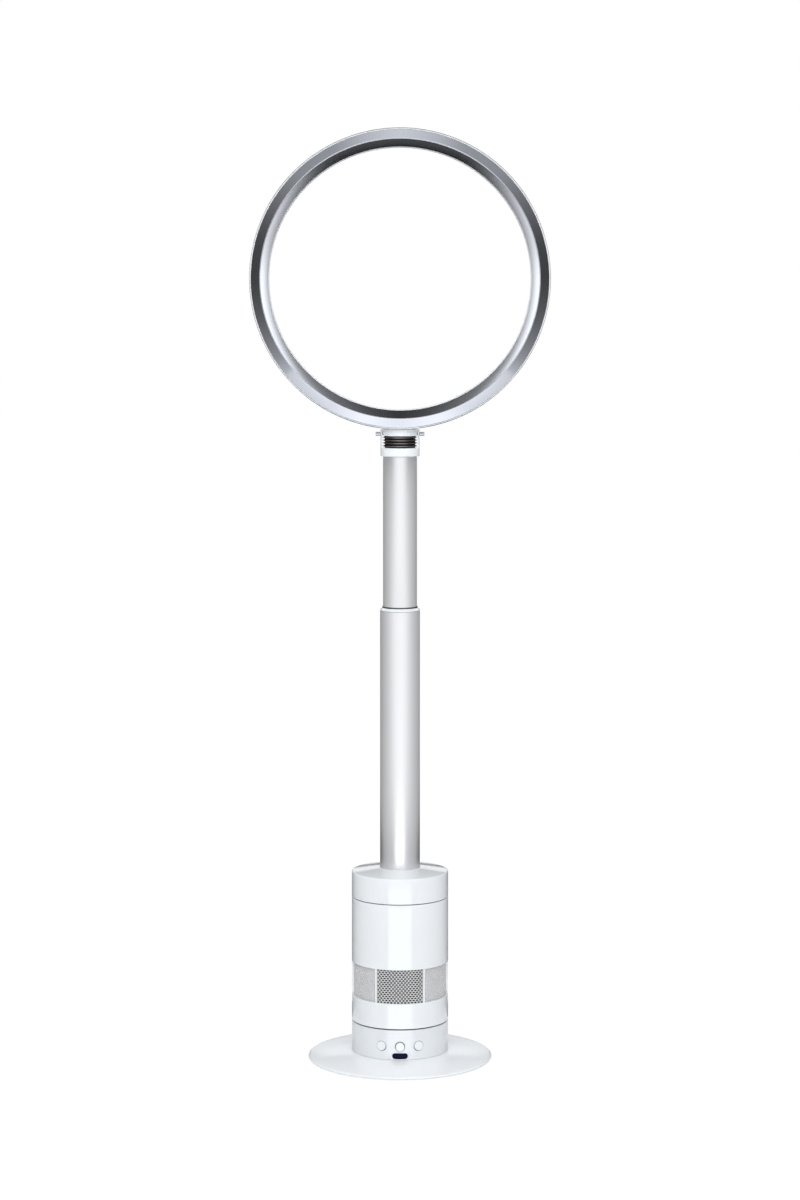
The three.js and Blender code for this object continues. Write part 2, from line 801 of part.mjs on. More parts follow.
function makeDiffuser() {
  const inside = motorRadius + seatGap;
  const outside = inside + cupWall;
  const bottom = motorBottom - stopGap;
  const roof = motorTop + seatGap;
  const cup = turned([
    [inside, bottom],
    [outside, bottom],
    [outside, roof],
    [outside / 2, roof + cupNose * 0.8],
    [shaftRadius, roof + cupNose],
    [shaftRadius, roof],
    [inside, roof],
  ], hiddenFacets);
  const vanes = Array.from({ length: vaneCount }, (_, index) => {
    const half = (plenumLength - stopGap) / 2;
    const plate = blade(index, vaneCount, inside + seatGap, plenumRadius - seatGap * 3, half, vaneThickness, 0);
    return plate.translate(0, 0, (plenumStart + plenumEnd) / 2);
  });
  return piece('diffuser', joined(cup, ...vanes), 'greyPlastic');
}

const bossInnerRadius = bearingRadius + seatGap;
const bossOuterRadius = bossInnerRadius + bearingBossWall;
const bossDepth = seatGap + bearingWidth;

function makeMotorCan() {
  const inside = motorRadius - motorWall;
  const roof = motorTop - motorWall;
  const profile = [
    [motorRadius, motorBottom],
    [motorRadius, motorTop],
    [shaftBore, motorTop],
    [shaftBore, roof],
    [bossInnerRadius, roof],
    [bossInnerRadius, roof - bossDepth],
    [bossOuterRadius, roof - bossDepth],
    [bossOuterRadius, roof],
    [inside, roof],
    [inside, motorBottom],
  ];
  return piece('motor_can', turned(profile, hiddenFacets), 'steel');
}

function makeMotorCap() {
  const rim = motorRadius - motorWall - seatGap;
  const floor = motorBottom + motorWall;
  const profile = [
    [shaftBore, motorBottom],
    [rim, motorBottom],
    [rim, floor],
    [bossOuterRadius, floor],
    [bossOuterRadius, floor + bossDepth],
    [bossInnerRadius, floor + bossDepth],
    [bossInnerRadius, floor],
    [shaftBore, floor],
  ];
  return piece('motor_end_cap', turned(profile, hiddenFacets), 'steel');
}

function makeBearings() {
  const upper = motorTop - motorWall - seatGap - bearingWidth;
  const rows = [['lower_bearing', bearingHeight], ['upper_bearing', upper]];
  return rows.map(([name, bottom]) => {
    return piece(name, tube(shaftBore, bearingRadius, bottom, bottom + bearingWidth, smallFacets), 'steel');
  });
}

function makeStator() {
  const middle = (motorBottom + motorTop) / 2;
  const outer = motorRadius - motorWall - seatGap;
  const core = tube(magnetRadius + airGap, outer, middle - magnetLength / 2, middle + magnetLength / 2, hiddenFacets);
  return piece('stator_core', core, 'iron');
}

function makeMagnet() {
  const middle = (motorBottom + motorTop) / 2;
  const ring = tube(shaftBore, magnetRadius, middle - magnetLength / 2, middle + magnetLength / 2, hiddenFacets);
  return piece('rotor_magnet', ring, 'iron');
}

function makeShaft() {
  const top = motorTop - motorWall;
  return piece('motor_shaft', disc(shaftRadius, impellerBottom - shaftTail, top), 'steel');
}

function makeDuctSleeve() {
  const inner = poleRadius - ductSleeveWall;
  const sleeve = tube(inner, poleRadius, casingTop - ductSleeveLength, casingTop);
  return piece('duct_collar', sleeve, 'blackRubber');
}

// Height of the top cover's outer cone at a radius.
function coverTopAt(radius) {
  const out = (radius - socketBore) / (bodyRadius - coverRound - socketBore);
  return coverPeak - (coverPeak - coverShoulder) * out;
}

function makeSocket() {
  const flangeBottom = casingTop - seatGap - socketFlangeThickness;
  const outer = socketBore + socketWall;
  const top = coverTopAt(outer) - bodyWall - seatGap;
  const profile = [
    [socketBore, flangeBottom],
    [innerFitRadius, flangeBottom],
    [innerFitRadius, flangeBottom + socketFlangeThickness],
    [outer, flangeBottom + socketFlangeThickness],
    [outer, top],
    [socketBore, top],
  ];
  const hole = frontBar(clampScrewRadius + seatGap, socketBore - 1, outer + 1);
  const socket = cutBy(turned(profile), hole.translate(0, 0, casingTop + clampScrewRise));
  return piece('pole_socket', socket, 'greyPlastic');
}

function makeClampScrew() {
  const seat = socketBore + socketWall + seatGap;
  const geometry = turnedAboutY([
    [0, socketBore],
    [clampScrewRadius, socketBore],
    [clampScrewRadius, seat],
    [clampHeadRadius, seat],
    [clampHeadRadius, seat + clampHeadHeight],
    [0, seat + clampHeadHeight],
  ], smallFacets);
  const screw = piece('clamp_screw', geometry, 'steel');
  screw.position.z = casingTop + clampScrewRise;
  return screw;
}

function makeTopCover() {
  const bottom = casingTop + seamGap;
  const inside = casingInnerRadius;
  const shoulder = lineThrough(0, 90, 3, (angle) => {
    const across = bodyRadius - coverRound + coverRound * Math.cos(radians(angle));
    return [across, coverShoulder - coverRound + coverRound * Math.sin(radians(angle))];
  });
  const profile = [
    [bodyRadius, bottom],
    ...shoulder,
    [socketBore, coverPeak],
    [socketBore, coverPeak - bodyWall],
    [inside, coverShoulder - bodyWall],
    [inside, bottom],
  ];
  return piece('top_cover', turned(profile), 'whitePlastic');
}

function makePole() {
  return piece('lower_pole', tube(poleRadius - poleWall, poleRadius, poleBottom, poleTop), 'silver');
}

function makeBush() {
  const profile = [
    [bushBore, bushBottom],
    [bushOuterRadius, bushBottom],
    [bushOuterRadius, bushRimBottom],
    [poleRadius, bushRimBottom],
    [poleRadius, bushRimBottom + bushRimHeight],
    [bushBore + bushLip, bushTop],
    [bushBore, bushTop],
  ];
  return piece('pole_bush', turned(profile), 'whitePlastic');
}

function makeWiper() {
  const bottom = wiperTop - wiperHeight;
  const profile = [
    [bushBore, bottom],
    [bushBore + wiperWidth, bottom],
    [bushBore + wiperWidth / 2, wiperTop],
    [bushBore, wiperTop],
  ];
  return piece('wiper_ring', turned(profile), 'blackRubber');
}

function makeInnerPole() {
  const bottom = bushBottom - stopGap - sliderLength;
  const sleeve = tube(innerPoleRadius - innerPoleWall, innerPoleRadius, bottom, innerPoleTop);
  return piece('upper_pole', sleeve, 'silver');
}

function makeSlider() {
  const top = bushBottom - stopGap;
  return piece('slide_bush', tube(bushBore, bushOuterRadius, top - sliderLength, top), 'blackPlastic');
}

// One ear of the yoke: an upright plate with a round top about the pivot.
function ear(side) {
  const low = [earInnerX, -earHalfWidth, yokeBottom + 1];
  const high = [yokeRadius + 1, earHalfWidth, pivotHeight];
  const head = sideBar(earHalfWidth, earInnerX, yokeRadius + 1).translate(0, 0, pivotHeight);
  return joined(block(low, high), head).rotateZ(side < 0 ? Math.PI : 0);
}

function makeYoke() {
  const spigotOuter = innerPoleRadius - innerPoleWall - seatGap;
  const yokeBore = spigotOuter - yokeWall;
  const body = turned([
    [yokeBore, yokeBottom - spigotLength],
    [spigotOuter, yokeBottom - spigotLength],
    [spigotOuter, yokeBottom],
    [yokeRadius, yokeBottom],
    [yokeRadius, yokeTop],
    [yokeBore, yokeTop],
  ]);
  const ears = common(joined(ear(1), ear(-1)), tube(1, yokeRadius, 0, pivotHeight * 2));
  const bore = pinRadius + seatGap;
  const holes = sideBar(bore, -yokeRadius - 1, yokeRadius + 1).translate(0, 0, pivotHeight);
  return piece('yoke', cutBy(joined(body, ears), holes), 'whitePlastic');
}

function makePin(name, side) {
  const seat = yokeRadius + seatGap;
  const geometry = turnedAboutY([
    [0, collarBore + seatGap],
    [pinRadius, collarBore + seatGap],
    [pinRadius, seat],
    [pinHeadRadius, seat],
    [pinHeadRadius, seat + pinHeadLength - pinHeadChamfer],
    [pinHeadRadius - pinHeadChamfer, seat + pinHeadLength],
    [0, seat + pinHeadLength],
  ], smallFacets);
  const pin = piece(name, geometry.rotateZ(-side * Math.PI / 2), 'steel');
  pin.position.z = pivotHeight;
  return pin;
}

function makeBellows() {
  const pitch = bellowsLength / bellowsRibs;
  const folds = lineThrough(0, bellowsRibs * 2, bellowsRibs * 2, (step) => {
    const wave = step % 2;
    const radius = bellowsGrooveRadius + (bellowsRibRadius - bellowsGrooveRadius) * wave;
    return [radius, bellowsBottom + pitch * step / 2];
  });
  const geometry = turned([[bellowsBore, bellowsBottom], ...folds, [bellowsBore, bellowsTop]], hiddenFacets);
  return piece('bellows', geometry, 'blackRubber');
}

function makeCollar() {
  const sleeve = tube(collarBore, collarRadius, collarBottom, collarTop);
  const holes = sideBar(pinRadius + seatGap, -collarRadius - 1, collarRadius + 1).translate(0, 0, pivotHeight);
  return piece('neck_collar', cutBy(sleeve, holes), 'whitePlastic');
}

// Outer face of the hoop's shell: a shallow bow from the front rim, then an ellipse round the rear
// that ends in the lip over the air slot.
function hoopOutside() {
  const bowAt = (depth) => {
    const sag = (hoopRadius - shellFrontRadius) / (shellFrontDepth - shellWidestDepth) ** 2;
    return [hoopRadius - sag * (depth - shellWidestDepth) ** 2, depth];
  };
  const bow = lineThrough(shellFrontDepth, noseStartDepth, 3, bowAt);
  const noseRadius = bow[bow.length - 1][0];
  const middle = (noseRadius + lipRadius) / 2;
  const nose = lineThrough(0, lipTurn, 7, (angle) => {
    const across = (noseRadius - middle) * Math.cos(radians(angle));
    return [middle + across, noseStartDepth + (hoopHalfDepth - noseStartDepth) * Math.sin(radians(angle))];
  });
  return [...bow, ...nose.slice(1)];
}

function makeOuterShell() {
  const outside = hoopOutside();
  const shell = turnedAboutY(wallBetween(outside, offsetLine(outside, hoopWall)), hoopFacets);
  const reach = hoopWall * 3;
  const hole = uprightBar(collarRadius + seatGap, -hoopRadius - reach, -hoopRadius + reach + hoopBow, bodyFacets);
  return piece('loop_outer_shell', cutBy(shell, hole), 'whitePlastic');
}

// Radius of the face that the air follows: it widens evenly from behind the lip to the front.
function innerFaceAt(depth) {
  const behind = lipRadius + coandaRise;
  return behind + (innerFrontRadius - behind) * (coandaDepth - depth) / (coandaDepth - innerFrontDepth);
}

function makeInnerShell() {
  const lipEnd = hoopOutside().pop();
  const slotRadius = lipEnd[0] + hoopWall + slotWidth;
  const face = [
    [innerFrontRadius, innerFrontDepth],
    [innerFaceAt(0), 0],
    [innerFaceAt(coandaDepth), coandaDepth],
    [slotRadius, lipEnd[1]],
    [slotRadius + slotWidth, lipEnd[1] + innerShellTail],
  ];
  const shell = turnedAboutY(wallBetween(face, offsetLine(face, -hoopWall)), hoopFacets);
  return piece('loop_inner_shell', shell, 'silver');
}

function makeTrim() {
  const front = -hoopHalfDepth;
  const profile = [
    [trimInnerRadius, front],
    [trimOuterRadius, front + trimSlope],
    [trimOuterRadius, front + trimSlope + trimThickness],
    [trimInnerRadius, front + trimThickness],
  ];
  return piece('front_trim', turnedAboutY(profile, hoopFacets), 'silver');
}

// Upright plates across the hollow hoop hold its inner shell in its outer shell.
function makeRibs() {
  const outside = hoopOutside();
  const wide = outside[1][0] - hoopWall - seatGap - stopGap;
  return Array.from({ length: ribCount }, (_, index) => {
    const shape = new THREE.Shape([
      new THREE.Vector2(innerFaceAt(ribFrontDepth) + hoopWall + seatGap * 2, ribFrontDepth),
      new THREE.Vector2(wide, ribFrontDepth),
      new THREE.Vector2(wide, ribRearDepth),
      new THREE.Vector2(innerFaceAt(ribRearDepth) + hoopWall + seatGap * 2, ribRearDepth),
    ]);
    const geometry = new THREE.ExtrudeGeometry(shape, { depth: ribThickness, bevelEnabled: false });
    const rib = piece(`loop_rib_${index + 1}`, geometry.translate(0, 0, -ribThickness / 2), 'blackPlastic');
    rib.rotation.y = 2 * Math.PI * index / ribCount;
    return rib;
  });
}

// A saddle-shaped seal round the neck, just inside the hoop's outer shell.
function makeGasket() {
  const outside = offsetLine(hoopOutside(), hoopWall + seatGap).slice(0, 7);
  const skin = turnedAboutY(wallBetween(outside, offsetLine(outside, gasketThickness)), hoopFacets);
  const inner = collarRadius + seatGap;
  const sleeve = tube(inner, inner + gasketWidth, -hoopRadius, -trimInnerRadius);
  return piece('neck_gasket', common(skin, sleeve), 'blackRubber');
}

function makeBase() {
  return groupOf(
    makeFoot(),
    makeBallast(),
    makeBaseCover(),
    ...makeScrews(),
    makeControlRing(),
    makeButton('power_button', -buttonTurn),
    makeButton('oscillation_button', buttonTurn),
    makeDial(),
    makeWindow(),
    makeControlBoard(),
    makeEncoder(),
    makeGland(),
    makeDeck(),
    makeGlideRing(),
    makeRetainingRing(),
    makeTurnMotor(),
    makePinion(),
  );
}

function makeFanBody() {
  return groupOf(
    makeTurntable(),
    makeGear(),
    makeCasing(),
    makeScreen(),
    makeDriverBoard(),
    makeIsolator(),
    makeDuct(),
    makeDiffuser(),
    makeMotorCan(),
    makeMotorCap(),
    ...makeBearings(),
    makeStator(),
    makeMagnet(),
    makeShaft(),
    makeImpeller(),
    makeDuctSleeve(),
    makeSocket(),
    makeClampScrew(),
    makeTopCover(),
    makePole(),
    makeBush(),
    makeWiper(),
  );
}

function makeSlidingPole() {
  return groupOf(
    makeInnerPole(),
    makeSlider(),
    makeYoke(),
    makePin('pivot_pin_left', -1),
    makePin('pivot_pin_right', 1),
    makeBellows(),
  );
}

function makeHoop() {
  const hoop = groupOf(makeOuterShell(), makeInnerShell(), makeTrim(), ...makeRibs(), makeGasket());
  hoop.position.z = hoopHeight;
  return groupOf(makeCollar(), hoop);
}

export default groupOf(makeBase(), makeFanBody(), makeSlidingPole(), makeHoop());
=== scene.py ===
import json
import math

import bmesh
import bpy
import numpy as np
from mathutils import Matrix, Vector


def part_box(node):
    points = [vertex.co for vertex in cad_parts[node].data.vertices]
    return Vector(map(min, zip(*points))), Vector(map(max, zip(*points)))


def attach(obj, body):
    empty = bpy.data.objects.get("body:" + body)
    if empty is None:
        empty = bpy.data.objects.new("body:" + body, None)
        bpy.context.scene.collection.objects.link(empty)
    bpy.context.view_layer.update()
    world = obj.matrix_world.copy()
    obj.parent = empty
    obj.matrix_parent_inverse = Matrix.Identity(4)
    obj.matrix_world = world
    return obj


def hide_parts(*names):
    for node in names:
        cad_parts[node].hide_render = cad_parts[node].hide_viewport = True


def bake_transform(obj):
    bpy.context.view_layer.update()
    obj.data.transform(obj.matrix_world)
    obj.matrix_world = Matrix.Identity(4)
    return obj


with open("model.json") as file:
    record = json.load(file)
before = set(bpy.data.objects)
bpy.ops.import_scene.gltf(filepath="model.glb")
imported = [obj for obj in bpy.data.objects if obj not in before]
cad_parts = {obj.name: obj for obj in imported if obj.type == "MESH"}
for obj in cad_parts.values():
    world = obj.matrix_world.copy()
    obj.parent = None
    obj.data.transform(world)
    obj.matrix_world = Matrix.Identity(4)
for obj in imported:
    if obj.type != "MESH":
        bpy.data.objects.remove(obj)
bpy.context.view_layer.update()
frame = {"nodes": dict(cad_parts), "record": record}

print("frame loaded,", len(frame["nodes"]), "nodes")

# Lengths in this file are millimetres, and become metres when a mesh is made.
metresPerUnit = 0.001


def spanOf(node):
    # Lowest and highest corner of a CAD node, in millimetres.
    low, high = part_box(node)
    return np.array(low) / metresPerUnit, np.array(high) / metresPerUnit


class Wire:
    # One socket of a node tree. A sum written on it adds Math nodes, and node() adds any other node.
    def __init__(self, tree, socket=None):
        self.tree = tree
        self.socket = socket

    def node(self, kind, settings=None, inputs=None, output=0):
        made = self.tree.nodes.new("ShaderNode" + kind)
        for name, value in (settings or {}).items():
            if name == "stops":
                self.setStops(made.color_ramp, value)
            else:
                setattr(made, name, value)
        for name, value in (inputs or {}).items():
            if isinstance(value, Wire):
                self.tree.links.new(value.socket, made.inputs[name])
            else:
                made.inputs[name].default_value = value
        return Wire(self.tree, made.outputs[output]) if len(made.outputs) else made

    def setStops(self, ramp, stops):
        while len(ramp.elements) < len(stops):
            ramp.elements.new(1)
        for element, (place, level) in zip(ramp.elements, stops):
            element.position = place
            element.color = (level, level, level, 1)

    def maths(self, operation, *values):
        inputs = dict(enumerate(values))
        return self.node("Math", {"operation": operation}, inputs)

    def __add__(self, other):
        return self.maths("ADD", self, other)

    def __radd__(self, other):
        return self.maths("ADD", other, self)

    def __sub__(self, other):
        return self.maths("SUBTRACT", self, other)

    def __rsub__(self, other):
        return self.maths("SUBTRACT", other, self)

    def __mul__(self, other):
        return self.maths("MULTIPLY", self, other)

    def __rmul__(self, other):
        return self.maths("MULTIPLY", other, self)

    def __abs__(self):
        return self.maths("ABSOLUTE", self)

    def step(self, low, high):
        # 0 below low, 1 above high and smooth between them.
        inputs = {"Value": self, "From Min": low, "From Max": high}
        return self.node("MapRange", {"interpolation_type": "SMOOTHSTEP"}, inputs)

    def graded(self, stops):
        # The level at a value, in straight lines between [value, level] stops.
        values, levels = zip(*stops)
        low, span, peak = values[0], values[-1] - values[0], max(levels)
        places = [((value - low) / span, level / peak) for value, level in stops]
        return self.node("ValToRGB", {"stops": places}, {"Fac": (self - low) * (1 / span)}) * peak

    def blend(self, first, second):
        # A colour between two colours, this socket being the share of the second.
        inputs = {"Factor": self, 6: first, 7: second}  # 6 and 7 are its two colours
        return self.node("Mix", {"data_type": "RGBA"}, inputs, output=2)

    def place(self, stretch=(1, 1, 1)):
        coordinates = self.node("TexCoord", output=3)  # Object
        return self.node("Mapping", {}, {"Vector": coordinates, "Scale": stretch})

    def length(self, stretch):
        # Distance from the object's origin along the axes that the stretch keeps.
        return self.node("VectorMath", {"operation": "LENGTH"}, {0: self.place(stretch)}, output=1)

    def noise(self, scale, detail, stretch):
        inputs = {"Vector": self.place(stretch), "Scale": scale, "Detail": detail}
        return self.node("TexNoise", {}, inputs)

    def bump(self, height, strength, distance):
        inputs = {"Height": height, "Strength": strength, "Distance": distance}
        return self.node("Bump", {}, inputs)


def shade(colour, factor):
    # A colour made darker or lighter.
    return tuple(min(channel * factor, 1) for channel in colour) + (1,)


def newMaterial(name):
    # An empty material and the wire that fills it.
    material = bpy.data.materials.new(name)
    material.use_nodes = True
    tree = material.node_tree
    tree.nodes.clear()
    return material, Wire(tree)


plainLook = {
    "roughnessSpread": 0.1, "relief": 0.05, "reliefStrength": 0.5, "metallic": 0.0, "specular": 0.5,
    "coat": 0.0, "coatRoughness": 0.05, "stretch": (1, 1, 1),
}


def surface(name, look):
    # A moulded, coated or turned surface: two close tones mixed by a soft noise, a roughness that
    # wanders with the same noise, and a fine grain as relief. A piece with crests gets a painted
    # highlight: it is paler at a greater distance from the object's axis, most of all near its front and
    # back.
    material, paint = newMaterial(name)
    look = {**plainLook, **look}
    stretch = look["stretch"]
    cloud = paint.noise(look["cloudScale"], detail=3, stretch=stretch)
    grain = paint.noise(look["grainScale"], detail=2, stretch=stretch)
    tone = cloud.step(0.3, 0.7)  # most of the noise lies between these
    spread = look["toneSpread"]
    colour = tone.blend(shade(look["colour"], 1 - spread), shade(look["colour"], 1 + spread))
    # Painted highlight: the crest colour where the radius is large, fading out towards the sides.
    if "paintedHighlight" in look:
        distance, sideways = paint.length((1, 1, 0)), paint.length((1, 0, 0))
        paintedHighlight = distance.step(*look["paintedHighlight"]) * (1 - sideways.step(*look["highlightFade"]) * look["highlightLoss"])
        colour = paintedHighlight.blend(colour, shade(look["highlightColour"], 1))
    roughness = look["roughness"] + (cloud + grain - 1) * look["roughnessSpread"]
    inputs = {
        "Base Color": colour,
        "Roughness": roughness,
        "Metallic": look["metallic"],
        "Coat Weight": look["coat"],
        "Coat Roughness": look["coatRoughness"],
        "Specular IOR Level": look["specular"],
        "Normal": paint.bump(grain, look["reliefStrength"], look["relief"] * metresPerUnit),
    }
    shader = paint.node("BsdfPrincipled", {}, inputs)
    paint.node("OutputMaterial", {}, {"Surface": shader})
    return material


finishLooks = {
    "white_plastic": {
        "colour": (0.88, 0.915, 0.945), "toneSpread": 0.008, "cloudScale": 14, "grainScale": 900,
        "roughness": 0.14, "roughnessSpread": 0.04, "relief": 0.006, "reliefStrength": 0.1,
        "coat": 0.4,
    },
    "silver_metallised": {
        "colour": (0.74, 0.765, 0.83), "toneSpread": 0.012, "cloudScale": 16, "grainScale": 1400,
        "roughness": 0.17, "roughnessSpread": 0.04, "relief": 0.02, "reliefStrength": 0.2, "metallic": 1.0,
    },
    "pole_silver": {
        "colour": (0.74, 0.74, 0.745), "toneSpread": 0.015, "cloudScale": 30, "grainScale": 1500,
        "roughness": 0.36, "roughnessSpread": 0.07, "relief": 0.02, "reliefStrength": 0.4, "metallic": 1.0,
        "stretch": (1, 1, 0.04),
    },
    "steel": {
        "colour": (0.56, 0.57, 0.58), "toneSpread": 0.04, "cloudScale": 60, "grainScale": 1200,
        "roughness": 0.34, "relief": 0.03, "metallic": 1.0,
    },
    "iron": {
        "colour": (0.13, 0.13, 0.14), "toneSpread": 0.12, "cloudScale": 45, "grainScale": 700,
        "roughness": 0.62, "roughnessSpread": 0.12, "relief": 0.15, "reliefStrength": 0.6, "metallic": 0.8,
    },
    "brass": {
        "colour": (0.62, 0.46, 0.20), "toneSpread": 0.06, "cloudScale": 120, "grainScale": 1500,
        "roughness": 0.3, "relief": 0.02, "reliefStrength": 0.4, "metallic": 1.0,
    },
    "black_rubber": {
        "colour": (0.022, 0.021, 0.022), "toneSpread": 0.15, "cloudScale": 90, "grainScale": 1600,
        "roughness": 0.42, "roughnessSpread": 0.12, "relief": 0.04,
    },
    "black_plastic": {
        "colour": (0.03, 0.03, 0.033), "toneSpread": 0.1, "cloudScale": 80, "grainScale": 1300,
        "roughness": 0.45,
    },
    "grey_plastic": {
        "colour": (0.30, 0.31, 0.33), "toneSpread": 0.05, "cloudScale": 40, "grainScale": 1200,
        "roughness": 0.5,
    },
    "smoked_window": {
        "colour": (0.0008, 0.002, 0.02), "toneSpread": 0.3, "cloudScale": 160, "grainScale": 500,
        "roughness": 0.08, "roughnessSpread": 0.02, "relief": 0.005, "reliefStrength": 0.2,
        "specular": 0.08,
    },
    "circuit_board": {
        "colour": (0.03, 0.12, 0.06), "toneSpread": 0.25, "cloudScale": 160, "grainScale": 900,
        "roughness": 0.4, "reliefStrength": 0.6,
    },
}
finishes = {slot: surface(slot + "_finish", look) for slot, look in finishLooks.items()}
print("finishes made,", len(finishes))


def softened(corners, steps=4):
    # An outline from [across, up, rounding] corners. Each corner becomes the curve
    # (1-t)^2 a + 2t(1-t) corner + t^2 b between points a and b, one rounding before and after it.
    corners = np.array(corners, float)
    points, rounding = corners[:, :2], corners[:, 2]
    back = np.roll(points, 1, 0) - points
    ahead = np.roll(points, -1, 0) - points
    backLength = np.linalg.norm(back, axis=1)
    aheadLength = np.linalg.norm(ahead, axis=1)
    reach = np.minimum(rounding, 0.49 * np.minimum(backLength, aheadLength))  # less than half a side
    start = points + back * (reach / backLength)[:, None]
    end = points + ahead * (reach / aheadLength)[:, None]
    t = np.linspace(0, 1, steps + 1)[None, :, None]
    curve = (1 - t) ** 2 * start[:, None] + 2 * t * (1 - t) * points[:, None] + t ** 2 * end[:, None]
    line = curve.reshape(-1, 2)
    apart = np.linalg.norm(line - np.roll(line, 1, 0), axis=1) > 1e-6
    return line[apart]


def gridQuads(index, wrapRows=True):
    # Four-sided faces between neighbours of a table of vertex numbers, whose columns go round.
    rows = np.vstack((index, index[:1])) if wrapRows else index
    table = np.hstack((rows, rows[:, :1]))
    corners = (table[:-1, :-1], table[:-1, 1:], table[1:, 1:], table[1:, :-1])
    return np.stack(corners, -1).reshape(-1, 4)


def turnedAboutZ(outline, columns):
    # (radius, up) turned by a: x = radius sin a, y = -radius cos a, z = up.
    turn = np.linspace(0, 2 * math.pi, columns, endpoint=False)[None, :]
    radius, up = outline[:, :1], outline[:, 1:]
    return np.stack((radius * np.sin(turn), -radius * np.cos(turn), up + 0 * turn), -1)


def turnedAboutY(outline, columns, height):
    # (radius, depth) turned by a: x = radius sin a, y = depth, z = height + radius cos a.
    grid = turnedAboutZ(outline, columns)
    return grid[..., [0, 2, 1]] * (1, 1, -1) + (0, 0, height)


def turnedAboutX(outline, columns, height):
    # (radius, across) turned by a: x = across, y = radius sin a, z = height - radius cos a.
    grid = turnedAboutZ(outline, columns)
    return grid[..., [2, 0, 1]] + (0, 0, height)


def solidOf(grid, wrapRows=True):
    # The points of a grid and the faces between them.
    index = np.arange(grid.shape[0] * grid.shape[1]).reshape(grid.shape[:2])
    return grid.reshape(-1, 3), gridQuads(index, wrapRows)


def together(*solids):
    # Several sets of points and faces as one.
    starts = np.cumsum([0] + [len(points) for points, quads in solids[:-1]])
    points = np.vstack([points for points, quads in solids])
    quads = np.vstack([quads + start for (solid, quads), start in zip(solids, starts)])
    return points, quads


def outwards(points, quads):
    # Turns the faces of a closed solid round if the volume that they enclose comes out negative.
    a, b, c, d = (points[quads[:, k]] for k in range(4))
    volume = np.einsum("ij,ij->", a, np.cross(b, c)) + np.einsum("ij,ij->", a, np.cross(c, d))
    return (points, quads[:, ::-1]) if volume < 0 else (points, quads)


sharpAngle = 38  # degrees, past which an edge is not shaded smooth


def addPiece(name, solids, body, node, slot="white_plastic", finish=None):
    # Puts solids into one mesh, with the finish of its slot or one of its own. The piece rides on a
    # body and stands for a CAD node.
    points, quads = together(*[outwards(*solid) for solid in solids])
    mesh = bpy.data.meshes.new(name)
    mesh.vertices.add(len(points))
    mesh.vertices.foreach_set("co", (points * metresPerUnit).ravel())
    mesh.loops.add(quads.size)
    mesh.loops.foreach_set("vertex_index", quads.ravel().astype(np.int32))
    mesh.polygons.add(len(quads))
    mesh.polygons.foreach_set("loop_start", np.arange(0, quads.size, 4, dtype=np.int32))
    mesh.update(calc_edges=True)
    closed = bmesh.new()
    closed.from_mesh(mesh)
    bmesh.ops.remove_doubles(closed, verts=closed.verts, dist=1e-6)
    closed.to_mesh(mesh)
    closed.free()
    mesh.shade_smooth()
    mesh.set_sharp_from_angle(angle=math.radians(sharpAngle))
    mesh.materials.append(finish or finishes[slot])
    piece = bpy.data.objects.new(name, mesh)
    bpy.context.scene.collection.objects.link(piece)
    if body:
        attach(piece, body)
    if node:
        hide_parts(node)
    return piece


def addTurned(name, corners, steps, columns, body, node, slot="white_plastic"):
    # A closed outline of [radius, up, rounding] corners turned about the object's axis.
    grid = turnedAboutZ(softened(corners, steps), columns)
    addPiece(name, [solidOf(grid)], body, node, slot)


def onDrum(radius, along, up, inwards):
    # A point of a drum's wall: along the face from the front, up, and in from the face.
    turn = along / radius
    reach = radius - inwards
    return np.stack((reach * np.sin(turn), -reach * np.cos(turn), up + 0 * turn), -1)


def edgeOfBlock(columns, rows):
    # Column and row numbers once round a block of cells, as two arrays.
    acrossUp = np.arange(columns[0], columns[1])
    upRight = np.arange(rows[0], rows[1])
    acrossDown = np.arange(columns[1], columns[0], -1)
    downLeft = np.arange(rows[1], rows[0], -1)
    columnLine = (acrossUp, 0 * upRight + columns[1], acrossDown, 0 * downLeft + columns[0])
    rowLine = (0 * acrossUp + rows[0], upRight, 0 * acrossDown + rows[1], downLeft)
    return np.concatenate(columnLine), np.concatenate(rowLine)


def fromCore(along, up, hole):
    # Nearest point of a hole's core to each point round it, and the way out from there. The core
    # is a point for a round hole, a line for a pill and a rectangle for a window.
    nearX = np.clip(along, -hole["coreX"], hole["coreX"])
    nearZ = np.clip(up, -hole["coreZ"], hole["coreZ"])
    core = np.stack((nearX, nearZ), -1)
    out = np.stack((along, up), -1) - core
    return core, out / np.linalg.norm(out, axis=1)[:, None]


def roundedRings(edge, wall):
    # [outset, inwards] of the rings that lead round a hole's edge, a quarter circle, and through.
    a = np.linspace(0, math.pi / 2, 5)
    return np.vstack((np.column_stack((edge * (1 - np.sin(a)), edge * (1 - np.cos(a)))), [[0, wall]]))


